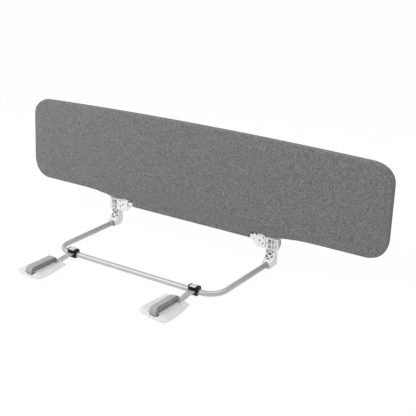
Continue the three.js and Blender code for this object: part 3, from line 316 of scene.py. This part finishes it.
def plastic_with_painted_shade(name, near, far, split):
    """Moulded plastic whose outer part, past a distance from the middle, is painted darker as the shade that
    falls on it.
    """
    shader = Shader(name, Roughness=0.45)
    places = shader.node("ShaderNodeSeparateXYZ")
    shader.link(shader.coord.outputs["Object"], places.inputs[0])
    # Past the split the colour turns to painted shade
    outside = shader.math("GREATER_THAN", shader.math("ABSOLUTE", places.outputs["X"], 0), split)
    tone = shader.math("MULTIPLY", shader.noise(scale=60, detail=3.0), 0.08)
    shader.color(shader.ramp(shader.math("ADD", outside, tone), [(0.0, near), (0.08, near), (0.95, far)]))
    shader.normal(shader.bump(shader.noise(scale=2600, detail=1.0), distance=0.06 * MM, strength=0.5))
    return shader.material


def ribbed_plastic(name, light, dark):
    """Lever moulding with raised grip ribs across it, and painted shade in the grooves between them."""
    shader = Shader(name, Roughness=0.3)
    ribs = shader.wave(95, "X")
    tone = shader.noise(scale=140)
    # The grooves' darker colour is painted shade
    shader.color(shader.ramp(shader.blend((ribs, 0.8), (tone, 0.2)), [(0.2, dark), (0.55, light)]))
    shader.normal(shader.bump(ribs, distance=0.3 * MM, strength=0.7))
    return shader.material


def drawn_metal(name, color, roughness, metallic=1.0):
    """Anodised or plated metal: a faint cloudy tone, fine grain and slightly uneven gloss."""
    shader = Shader(name, Metallic=metallic)
    tone = shader.noise(scale=35, detail=3.0)
    low = tuple(c * 0.94 for c in color)
    shader.color(shader.ramp(tone, [(0.3, low), (0.7, color)]))
    grain = shader.noise(scale=1500)
    both = shader.blend((grain, 0.5), (tone, 0.5))
    shader.roughness(shader.ramp(both, [(0.35, roughness - 0.04), (0.65, roughness + 0.05)]))
    shader.normal(shader.bump(grain, distance=0.01 * MM, strength=0.4))
    return shader.material


def woven_webbing(name, dark, light):
    """Plain-woven strap: ribs across it, crossed by warp ends. Its UVs are in metres."""
    shader = Shader(name, Roughness=0.82)
    shader.bsdf.inputs["Specular IOR Level"].default_value = 0.25
    shader.bsdf.inputs["Sheen Weight"].default_value = 0.1
    weave = shader.math("MULTIPLY", shader.wave(170, "Y", "UV"), shader.wave(260, "X", "UV"))
    yarn = shader.noise(scale=1300, source="UV")
    tone = shader.noise(scale=70, detail=3.0, source="UV")
    mixed = shader.blend((weave, 0.45), (yarn, 0.3), (tone, 0.25))
    shader.color(shader.ramp(mixed, [(0.2, dark), (0.65, light)]))
    shader.normal(shader.bump(weave, distance=0.3 * MM, strength=0.8))
    return shader.material


def translucent_sheet(name, color):
    """Milky moulded plastic that lets light through, softly clouded."""
    shader = Shader(name, Roughness=0.3, IOR=1.46)
    shader.bsdf.inputs["Transmission Weight"].default_value = 0.2
    shader.bsdf.inputs["Specular IOR Level"].default_value = 0.45
    clouds = shader.noise(scale=35, detail=3.0)
    low = tuple(c * 0.95 for c in color)
    shader.color(shader.ramp(clouds, [(0.3, low), (0.7, color)]))
    shader.normal(shader.bump(shader.noise(scale=240), distance=0.03 * MM, strength=0.4))
    return shader.material


fabric = melange_cloth("melange_fabric", 0.085, 0.245)
# Near-black cloth for the notch sheets, as painted shade
notch_shade_cloth = melange_cloth("notch_shade_black", 0.004, 0.012)
thread = melange_cloth("seam_thread", 0.05, 0.12)
aluminium = drawn_metal("anodised_aluminium", (0.50, 0.495, 0.49), 0.42, 0.35)
zinc = drawn_metal("zinc_plated_steel", (0.62, 0.63, 0.64), 0.3)
dark_steel = drawn_metal("dark_screw_steel", (0.24, 0.24, 0.245), 0.38)
white_plastic = moulded_plastic("white_plastic", (0.80, 0.805, 0.80), 0.42)
# Rear cover: white plastic, with painted shade on its outer wing
shaded_wing_plastic = plastic_with_painted_shade("shaded_wing_plastic", (0.78, 0.785, 0.78), (0.36, 0.36, 0.33), WING_SHADE_SPLIT)
black_plastic = moulded_plastic("black_plastic", (0.005, 0.005, 0.006), 0.2, specular=0.2)
# Lever: light ribs, with painted shade in the grooves
lever_plastic = ribbed_plastic("lever_plastic", (0.78, 0.785, 0.79), (0.30, 0.30, 0.31))
foam = moulded_plastic("foam", (0.7, 0.68, 0.62), 0.9, grain=0.4)
strap = woven_webbing("strap_webbing", 0.24, 0.55)
milky = translucent_sheet("milky_plastic", (0.80, 0.79, 0.785))


# Mesh helpers
def mesh_object(name, verts, faces, material, uvs=None):
    mesh = bpy.data.meshes.new(name)
    mesh.from_pydata([tuple(v) for v in verts], [], faces)
    if uvs:
        layer = mesh.uv_layers.new(name="UVMap")
        for loop in mesh.loops:
            layer.data[loop.index].uv = uvs[loop.vertex_index]
    mesh.polygons.foreach_set("use_smooth", [True] * len(mesh.polygons))
    mesh.materials.append(material)
    made = bpy.data.objects.new(name, mesh)
    bpy.context.scene.collection.objects.link(made)
    return made


def apply_modifiers(piece):
    graph = bpy.context.evaluated_depsgraph_get()
    mesh = bpy.data.meshes.new_from_object(piece.evaluated_get(graph))
    piece.modifiers.clear()
    old = piece.data
    piece.data = mesh
    bpy.data.meshes.remove(old)


def sweep(sections):
    """Closed skin over a row of closed sections, with both ends capped."""
    count = len(sections[0])
    verts = [point for section in sections for point in section]
    faces = []
    for i in range(len(sections) - 1):
        for j in range(count):
            k = (j + 1) % count
            faces.append((i * count + j, i * count + k, (i + 1) * count + k, (i + 1) * count + j))
    faces.append(tuple(reversed(range(count))))
    last = (len(sections) - 1) * count
    faces.append(tuple(last + j for j in range(count)))
    return verts, faces


def tube_mesh(name, path, radius, material):
    """A round bar along a path that lies level, so that Z is its steady normal."""
    up = Vector((0, 0, 1))
    turns = [2 * math.pi * j / TUBE_SIDES for j in range(TUBE_SIDES)]
    sections = []
    for i, point in enumerate(path):
        before = path[max(i - 1, 0)]
        after = path[min(i + 1, len(path) - 1)]
        across = (after - before).normalized().cross(up)
        sections.append([point + radius * (math.cos(t) * across + math.sin(t) * up) for t in turns])
    verts, faces = sweep(sections)
    piece = mesh_object(name, verts, faces, material)
    piece.data.polygons[-1].use_smooth = False
    piece.data.polygons[-2].use_smooth = False
    return piece


def bezier(a, b, c, d, steps):
    """Points of a flat cubic curve, without its start."""
    out = []
    for i in range(1, steps + 1):
        t = i / steps
        s = 1 - t
        shares = (s**3, 3 * s * s * t, 3 * s * t * t, t**3)
        out.append(tuple(sum(share * end[k] for share, end in zip(shares, (a, b, c, d))) for k in (0, 1)))
    return out


def smoothstep(value, low, high):
    t = min(max((value - low) / (high - low), 0), 1)
    return t * t * (3 - 2 * t)


def leaned(point):
    """A point of the upright panel, from the tube's axis and the front face, where it stands at rest."""
    world = Vector((point[0], point[1] + FRONT_Y, point[2] + AXIS_Z))
    turn = Matrix.Rotation(-LEAN, 3, "X")
    return turn @ (world - fold_axis) + fold_axis


# Panel cover
def cover_outline():
    """Right half of the cover's rim, from the apron to the top middle, as (x, z)."""
    shoulder = PANEL_TOP - SHOULDER_DROP
    low_wide, low_high = BOTTOM_CORNER
    top_wide, top_high = TOP_CORNER
    ease = 1 - CORNER_EASE_SHARE
    rise = WING_BOTTOM - SLOPE_SAG - NOTCH_TOP
    points = [(NOTCH_INNER - NOTCH_ROUND, APRON_BOTTOM)]
    corner = (NOTCH_INNER, APRON_BOTTOM)
    points += bezier(points[-1], corner, corner, (NOTCH_INNER, APRON_BOTTOM + NOTCH_ROUND), NOTCH_STEPS)
    points += [(NOTCH_INNER, NOTCH_TOP), (NOTCH_OUTER, NOTCH_TOP)]
    points += bezier(
        points[-1],
        (NOTCH_OUTER + SLOPE_REACH * SLOPE_LOWER_SHARES[0], NOTCH_TOP + rise * SLOPE_LOWER_SHARES[1]),
        (NOTCH_OUTER + SLOPE_REACH * SLOPE_UPPER_SHARES[0], NOTCH_TOP + rise * SLOPE_UPPER_SHARES[1]),
        (NOTCH_OUTER + SLOPE_REACH, NOTCH_TOP + rise),
        SLOPE_STEPS,
    )
    points.append((PANEL_HALF - low_wide, WING_BOTTOM))
    points += bezier(
        points[-1],
        (PANEL_HALF - low_wide * ease, WING_BOTTOM),
        (PANEL_HALF, WING_BOTTOM + low_high * ease),
        (PANEL_HALF, WING_BOTTOM + low_high),
        CORNER_STEPS,
    )
    points.append((PANEL_HALF, shoulder - top_high))
    points += bezier(
        points[-1],
        (PANEL_HALF, shoulder - top_high * ease),
        (PANEL_HALF - top_wide * ease, shoulder),
        (PANEL_HALF - top_wide, shoulder),
        CORNER_STEPS,
    )
    start = points[-1]
    crown = ((PANEL_HALF - top_wide) / 2, PANEL_TOP)
    for i in range(1, CROWN_STEPS + 1):
        t = i / CROWN_STEPS
        x = (1 - t) ** 2 * start[0] + 2 * t * (1 - t) * crown[0]
        z = (1 - t) ** 2 * start[1] + 2 * t * (1 - t) * crown[1] + t * t * PANEL_TOP
        points.append((x, z))
    return points


def both_sides(half):
    """A right half, followed by its mirror image."""
    return half + [(-x, z) for x, z in reversed(half[:-1])]


def panel_cover():
    rim = both_sides(cover_outline())
    shape = bmesh.new()
    front = [shape.verts.new((x, 0, z)) for x, z in rim]
    face = shape.faces.new(front)
    drawn = bmesh.ops.extrude_face_region(shape, geom=[face])["geom"]
    bmesh.ops.translate(
        shape,
        vec=(0, PANEL_THICK, 0),
        verts=[v for v in drawn if isinstance(v, bmesh.types.BMVert)],
    )
    bmesh.ops.recalc_face_normals(shape, faces=shape.faces)
    mesh = bpy.data.meshes.new("panel_cover")
    shape.to_mesh(mesh)
    shape.free()
    mesh.materials.append(fabric)
    piece = bpy.data.objects.new("panel_cover", mesh)
    bpy.context.scene.collection.objects.link(piece)
    rounded = piece.modifiers.new("rim", "BEVEL")
    rounded.width = COVER_EDGE
    rounded.segments = COVER_EDGE_SEGMENTS
    rounded.limit_method = "ANGLE"
    rounded.angle_limit = COVER_SHARP
    remesh = piece.modifiers.new("skin", "REMESH")
    remesh.mode = "VOXEL"
    remesh.voxel_size = COVER_VOXEL
    apply_modifiers(piece)
    fill(piece)
    soften(piece.data)
    fine = piece.modifiers.new("fine", "SUBSURF")
    fine.levels = 1
    fine.render_levels = 1
    apply_modifiers(piece)
    piece.data.polygons.foreach_set("use_smooth", [True] * len(piece.data.polygons))
    return piece


def rim_distance(x, z):
    """Distance of a point of the face from the panel's rim, close enough for holding and easing."""
    upper = z > (PANEL_TOP + WING_BOTTOM) / 2
    top = PANEL_TOP - SHOULDER_DROP * (x / (PANEL_HALF - TOP_CORNER[0])) ** 2
    low = WING_BOTTOM if abs(x) > NOTCH_INNER else APRON_BOTTOM
    near = min(PANEL_HALF - abs(x), top - z, z - low)
    wide, high = TOP_CORNER if upper else BOTTOM_CORNER
    u = (abs(x) - (PANEL_HALF - wide)) / wide
    v = (z - (top - high)) / high if upper else ((low + high) - z) / high
    if u > 0 and v > 0:
        near = min(near, (1 - math.hypot(u, v)) * min(wide, high))
    return near


def fill(piece):
    """Lets the cloth swell over its padding: pressure inside, the rim held, no gravity."""
    mesh = piece.data
    start = [vertex.co.copy() for vertex in mesh.vertices]
    held = piece.vertex_groups.new(name="rim")
    middle = PANEL_THICK / 2
    for vertex in mesh.vertices:
        x, y, z = vertex.co
        on_edge = abs(y - middle) < middle - HELD_EDGE
        weight = 1 if on_edge or rim_distance(x, z) < HELD_RIM else 0
        held.add([vertex.index], weight, "REPLACE")
    cloth = piece.modifiers.new("fill", "CLOTH")
    cloth.settings.quality = CLOTH_QUALITY
    cloth.settings.use_pressure = True
    cloth.settings.uniform_pressure_force = FILL_PRESSURE
    cloth.settings.effector_weights.gravity = 0
    cloth.settings.vertex_group_mass = held.name
    cloth.settings.tension_stiffness = CLOTH_STRETCH
    cloth.settings.compression_stiffness = CLOTH_STRETCH
    cloth.settings.bending_stiffness = CLOTH_BEND
    cloth.point_cache.frame_start = 1
    cloth.point_cache.frame_end = FILL_FRAMES
    for number in range(1, FILL_FRAMES + 1):
        bpy.context.scene.frame_set(number)
    apply_modifiers(piece)
    bpy.context.scene.frame_set(1)
    piece.vertex_groups.clear()
    for vertex, place in zip(piece.data.vertices, start):
        move = vertex.co - place
        far = move.length
        cap = SWELL_CAP * (BACK_SHARE if place.y > middle else 1)
        if far > 0:
            vertex.co = place + move * (cap * math.tanh(far / cap) / far)


def slack_at(x, y, z, pitch, shift=0):
    """Noise at a point of the cover, from -1 to 1."""
    return noise.noise(Vector((x * pitch[0] + shift, z * pitch[1], y * pitch[2])))


def soften(mesh):
    """Adds the slack of stretched cloth and leans the cover with the panel."""
    middle = PANEL_THICK / 2
    for vertex in mesh.vertices:
        x, y, z = vertex.co
        rise = min(max(rim_distance(x, z) / CROWN_REACH, 0), 1)
        slack = slack_at(x, y, z, SLACK_WIDE_PITCH) * SLACK_WIDE
        slack += slack_at(x, y, z, SLACK_FINE_PITCH, SLACK_FINE_SHIFT) * SLACK_FINE
        side = BACK_SHARE if y > middle else -1
        share = min(abs(y - middle) / middle, 1)
        vertex.co = leaned((x, y + side * share * slack * rise, z))


def rim_seam(name, path):
    """A sewn seam on the rim, as a thin cord that lies half in the cloth."""
    curve = bpy.data.curves.new(name, "CURVE")
    curve.dimensions = "3D"
    spline = curve.splines.new("POLY")
    spline.points.add(len(path) - 1)
    for point, (x, z) in zip(spline.points, path):
        point.co = (*leaned((x, SEAM_DEPTH, z)), 1)
    curve.bevel_depth = SEAM_RADIUS
    curve.bevel_resolution = 2
    curve.use_fill_caps = True
    curve.materials.append(thread)
    made = bpy.data.objects.new(name, curve)
    bpy.context.scene.collection.objects.link(made)
    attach(made, "panel")


def notch_shade_sheet(name, x_range, y_range, z_range):
    """A near-black sheet in the notch, inside the cover, as painted shade in the gap above the release
    button.
    """
    corners = [(x, y, z) for x in x_range for y in y_range for z in z_range]
    faces = [(0, 1, 3, 2), (4, 6, 7, 5), (0, 4, 5, 1), (2, 3, 7, 6), (0, 2, 6, 4), (1, 5, 7, 3)]
    piece = mesh_object(name, [leaned(corner) for corner in corners], faces, notch_shade_cloth)
    piece.data.polygons.foreach_set("use_smooth", [False] * len(piece.data.polygons))
    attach(piece, "panel")


cover = panel_cover()
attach(cover, "panel")
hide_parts("fabric_cover")

past_notch = [
    (x, z) for x, z in cover_outline() if x > NOTCH_OUTER + SEAM_START or z > WING_BOTTOM + SEAM_START
]
rim_seam("rim_seam", both_sides(past_notch))
apron_side = NOTCH_INNER - NOTCH_ROUND
rim_seam("apron_seam", [(apron_side, APRON_BOTTOM), (0, APRON_BOTTOM), (-apron_side, APRON_BOTTOM)])
# Near-black sheets behind the notches, as painted shade in the gaps above the release buttons
for label, way in SIDES:
    behind = sorted((way * (NOTCH_INNER + NOTCH_SHADE_INSET), way * NOTCH_SHADE_OUTER))
    notch_shade_sheet(f"notch_painted_shade_{label}", behind, NOTCH_SHADE_DEPTHS, NOTCH_SHADE_HEIGHTS)


# Frame tube
def frame_path():
    half = [Vector((ARM_X, ARM_END_Y, AXIS_Z))]
    for i in range(BEND_STEPS + 1):
        turn = -i / BEND_STEPS * math.pi / 2
        x = ARM_X - BEND_RADIUS + BEND_RADIUS * math.cos(turn)
        y = BAR_Y + BEND_RADIUS + BEND_RADIUS * math.sin(turn)
        half.append(Vector((x, y, AXIS_Z)))
    return half + [Vector((-p.x, p.y, p.z)) for p in reversed(half)]


frame_bar = tube_mesh("frame_bar", frame_path(), TUBE_RADIUS, aluminium)
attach(frame_bar, "bed_frame")
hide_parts("frame_tube")


# Webbing
def web_route():
    """The strap's middle line, as (reach from the bar, height over it)."""
    low = WEB_MIDDLE - WEB_OUTER
    points = [WEB_START, WEB_MOUTH, WEB_LIP]
    for i in range(1, LEAD_STEPS):
        t = i / LEAD_STEPS
        ease = smoothstep(t, 0, 1)
        points.append((WEB_LIP[0] + (WEB_FAR - WEB_LIP[0]) * t, WEB_LIP[1] + (low - WEB_LIP[1]) * ease))
    offset = WEB_OUTER
    for loop in range(WEB_LOOPS):
        points += level_run(WEB_FAR, WEB_NEAR, WEB_MIDDLE - offset)
        points += half_turn(WEB_NEAR, offset, offset - WEB_PITCH / 2, 1)
        offset -= WEB_PITCH / 2
        points += level_run(WEB_NEAR, WEB_FAR, WEB_MIDDLE + offset)
        if loop < WEB_LOOPS - 1:
            points += half_turn(WEB_FAR, offset, offset - WEB_PITCH / 2, -1)
        offset -= WEB_PITCH / 2
    return points


def level_run(start, end, height):
    """One flat side of a loop, as (reach, height)."""
    return [(start + (end - start) * i / RUN_STEPS, height) for i in range(RUN_STEPS + 1)]


def half_turn(centre, before, after, way):
    """The end of a loop, whose radius shrinks from before to after."""
    radius = (before + after) / 2
    middle = WEB_MIDDLE + way * (after - before) / 2
    turns = [math.pi * i / TURN_STEPS for i in range(1, TURN_STEPS)]
    return [(centre + way * radius * math.sin(t), middle - way * radius * math.cos(t)) for t in turns]


def web_section():
    """Half-round selvedges on a flat strip, as (across, through)."""
    thick = WEB_THICK / 2
    end = WEB_WIDTH / 2 - thick
    step = math.pi / 4
    right = [(end + thick * math.cos(i * step), thick * math.sin(i * step)) for i in (-2, -1, 0, 1)]
    top = [(end, thick)] + [(end * share, thick) for share in WEB_FLAT_SHARES] + [(-end, thick)]
    left = [(-end + thick * math.cos(i * step), thick * math.sin(i * step)) for i in (3, 4, 5)]
    bottom = [(-end, -thick)] + [(-end * share, -thick) for share in WEB_FLAT_SHARES]
    return right + top + left + bottom


def webbing_strip(label, way):
    route = web_route()
    roll = math.radians(ROLL_DEGREES[label])
    section = web_section()
    lift = Vector((0, 0, WEB_MIDDLE))
    sections = []
    uvs = []
    length = 0
    for i, (reach, height) in enumerate(route):
        share = smoothstep(reach, WEB_LIP[0], WEB_FAR - WEB_OUTER)
        before = route[max(i - 1, 0)]
        after = route[min(i + 1, len(route) - 1)]
        along = Vector((0, before[0] - after[0], after[1] - before[1])).normalized()
        out = Vector((1, 0, 0)).cross(along)
        drift_at = Vector((length * WEB_DRIFT_PITCH, way * WEB_DRIFT_SHIFT, 0))
        ripple_at = Vector((length * WEB_RIPPLE_PITCH, 0, way * WEB_RIPPLE_SHIFT))
        drift = noise.noise(drift_at) * WEB_DRIFT * share
        ripple = noise.noise(ripple_at) * WEB_RIPPLE * share
        turn = Matrix.Rotation(-roll * share, 3, "Y")
        point = Vector((0, -reach, height)) + ripple * out
        ring = []
        for across, through in section:
            place = point + Vector((across + drift, 0, 0)) + through * out
            place = turn @ (place - lift) + lift
            ring.append(Vector((way * (place.x + CLAMP_X), place.y + BAR_Y, place.z + AXIS_Z)))
            uvs.append((across + WEB_WIDTH, length))
        sections.append(ring)
        if i + 1 < len(route):
            length += math.dist(route[i], route[i + 1])
    verts, faces = sweep(sections)
    if way > 0:
        faces = [tuple(reversed(face)) for face in faces]
    piece = mesh_object(f"strap_webbing_{label}", verts, faces, strap, uvs)
    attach(piece, f"strap_{label}")
    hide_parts(f"webbing_{label}")


for label, way in SIDES:
    webbing_strip(label, way)


# Lock springs, wound here as coils in the boxes of the CAD springs
def coil_spring(label):
    low, high = (Vector(corner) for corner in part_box(f"lock_spring_{label}"))
    middle = (low + high) / 2
    wire = SPRING_WIRE / 2
    radius = (high.y - low.y) / 2 - wire
    length = high.x - low.x
    last = SPRING_TURNS * SPRING_STEPS
    angles = [2 * math.pi * j / SPRING_SIDES for j in range(SPRING_SIDES)]
    along = Vector((1, 0, 0))
    sections = []
    for i in range(last + 1):
        turn = 2 * math.pi * i / SPRING_STEPS
        out = Vector((0, math.cos(turn), math.sin(turn)))
        reach = low.x + wire + (length - 2 * wire) * i / last
        place = Vector((reach, middle.y, middle.z)) + radius * out
        sections.append([place + wire * (math.cos(a) * out + math.sin(a) * along) for a in angles])
    verts, faces = sweep(sections)
    piece = mesh_object(f"coil_spring_{label}", verts, faces, zinc)
    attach(piece, "bed_frame")
    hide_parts(f"lock_spring_{label}")
    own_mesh(piece)


for label, way in SIDES:
    coil_spring(label)


# CAD nodes that keep their shape
def dress(node, material, bevel):
    """Gives a CAD node its material and eases its edges."""
    piece = frame["nodes"][node]
    piece.data.materials.clear()
    piece.data.materials.append(material)
    piece.data.polygons.foreach_set("use_smooth", [True] * len(piece.data.polygons))
    flat = piece.modifiers.new("flats", "DECIMATE")
    flat.decimate_type = "DISSOLVE"
    flat.angle_limit = FLAT_ANGLE
    eased = piece.modifiers.new("edges", "BEVEL")
    eased.width = bevel * MM
    eased.segments = EASED_SEGMENTS
    eased.limit_method = "ANGLE"
    eased.angle_limit = EASED_ANGLE
    eased.use_clamp_overlap = True
    eased.harden_normals = True


for label, _ in SIDES:
    for stem, material, bevel in (
        ("hinge_column", white_plastic, 0.5),
        ("column_rear_cover", shaded_wing_plastic, 0.5),
        ("spring_cap", white_plastic, 0.3),
        ("lug_housing", white_plastic, 0.4),
        ("lug_cover", white_plastic, 0.5),
        ("release_button", white_plastic, 0.6),
        ("button_stem", zinc, 0.2),
        ("lock_bolt", zinc, 0.2),
        ("hinge_axle", zinc, 0.3),
        ("axle_clip", zinc, 0.1),
        ("arm_screw", zinc, 0.2),
        ("tube_joiner", zinc, 0.2),
        ("lever_pin", zinc, 0.2),
        ("strap_clamp", black_plastic, 1.2),
        ("clamp_lever", lever_plastic, 0.5),
        ("anchor_plate", milky, 0.4),
    ):
        dress(f"{stem}_{label}", material, bevel)
    for mark in "abc":
        dress(f"lug_screw_{label}_{mark}", dark_steel, 0.2)
    for number in (1, 2):
        dress(f"tube_screw_{label}_{number}", zinc, 0.2)
        dress(f"rear_cover_screw_{label}_{number}", zinc, 0.2)
for node in ("panel_upper_tube", "panel_lower_tube"):
    dress(node, zinc, 0.2)
for node in ("foam_core", "apron_core"):
    dress(node, foam, 1.5)


# Floor, light and camera
def any_ray(tree, kinds):
    """One for a ray of any of these kinds, otherwise nought."""
    rays = tree.nodes.new("ShaderNodeLightPath")
    seen = rays.outputs[kinds[0]]
    for kind in kinds[1:]:
        step = tree.nodes.new("ShaderNodeMath")
        step.operation = "MAXIMUM"
        tree.links.new(seen, step.inputs[0])
        tree.links.new(rays.outputs[kind], step.inputs[1])
        seen = step.outputs[0]
    return seen


def studio_white(name, shade):
    """White that the camera, metal and milky plastic see as background, and that still takes the shadow."""
    made = bpy.data.materials.new(name)
    made.use_nodes = True
    tree = made.node_tree
    tree.nodes.clear()
    out = tree.nodes.new("ShaderNodeOutputMaterial")
    mix = tree.nodes.new("ShaderNodeMixShader")
    matte = tree.nodes.new("ShaderNodeBsdfDiffuse")
    matte.inputs["Color"].default_value = (FLOOR_WHITE, FLOOR_WHITE, FLOOR_WHITE, 1)
    glow = tree.nodes.new("ShaderNodeEmission")
    share = tree.nodes.new("ShaderNodeMath")
    share.operation = "MULTIPLY"
    share.inputs[1].default_value = shade
    tree.links.new(any_ray(tree, ("Is Camera Ray", "Is Glossy Ray", "Is Transmission Ray")), share.inputs[0])
    tree.links.new(share.outputs[0], mix.inputs["Fac"])
    tree.links.new(matte.outputs[0], mix.inputs[1])
    tree.links.new(glow.outputs[0], mix.inputs[2])
    tree.links.new(mix.outputs[0], out.inputs["Surface"])
    return made


def floor():
    half = FLOOR_HALF
    verts = [(-half, -half, 0), (half, -half, 0), (half, half, 0), (-half, half, 0)]
    piece = mesh_object("studio_floor", verts, [(0, 1, 2, 3)], studio_white("studio_white", FLOOR_SHADE))


def world():
    """White background, and a dimmer light from all sides."""
    made = bpy.data.worlds.new("studio")
    bpy.context.scene.world = made
    made.use_nodes = True
    tree = made.node_tree
    background = tree.nodes["Background"]
    level = tree.nodes.new("ShaderNodeMapRange")
    level.inputs["To Min"].default_value = WORLD_LIGHT
    level.inputs["To Max"].default_value = 1.0
    tree.links.new(any_ray(tree, ("Is Camera Ray", "Is Transmission Ray")), level.inputs["Value"])
    tree.links.new(level.outputs[0], background.inputs["Strength"])
    background.inputs["Color"].default_value = (1, 1, 1, 1)


def lamp(name, place, target, size, power):
    light = bpy.data.lights.new(name, "AREA")
    light.shape = "SQUARE"
    light.size = size
    light.energy = power
    made = bpy.data.objects.new(name, light)
    made.location = place
    made.rotation_euler = (Vector(target) - Vector(place)).to_track_quat("-Z", "Y").to_euler()
    bpy.context.scene.collection.objects.link(made)


def camera():
    data = bpy.data.cameras.new("photo_camera")
    data.lens = CAMERA_LENS
    data.sensor_width = SENSOR
    data.sensor_fit = "HORIZONTAL"
    data.clip_end = CLIP_END
    made = bpy.data.objects.new("photo_camera", data)
    made.location = CAMERA_PLACE + Vector((0, FRONT_Y, AXIS_Z))
    look = CAMERA_TARGET - CAMERA_PLACE
    made.rotation_euler = look.to_track_quat("-Z", "Y").to_euler()
    bpy.context.scene.collection.objects.link(made)
    bpy.context.scene.camera = made


floor()
world()
lamp("key", **KEY_LAMP)
lamp("top", **TOP_LAMP)
camera()
bpy.context.scene.view_settings.view_transform = "Standard"
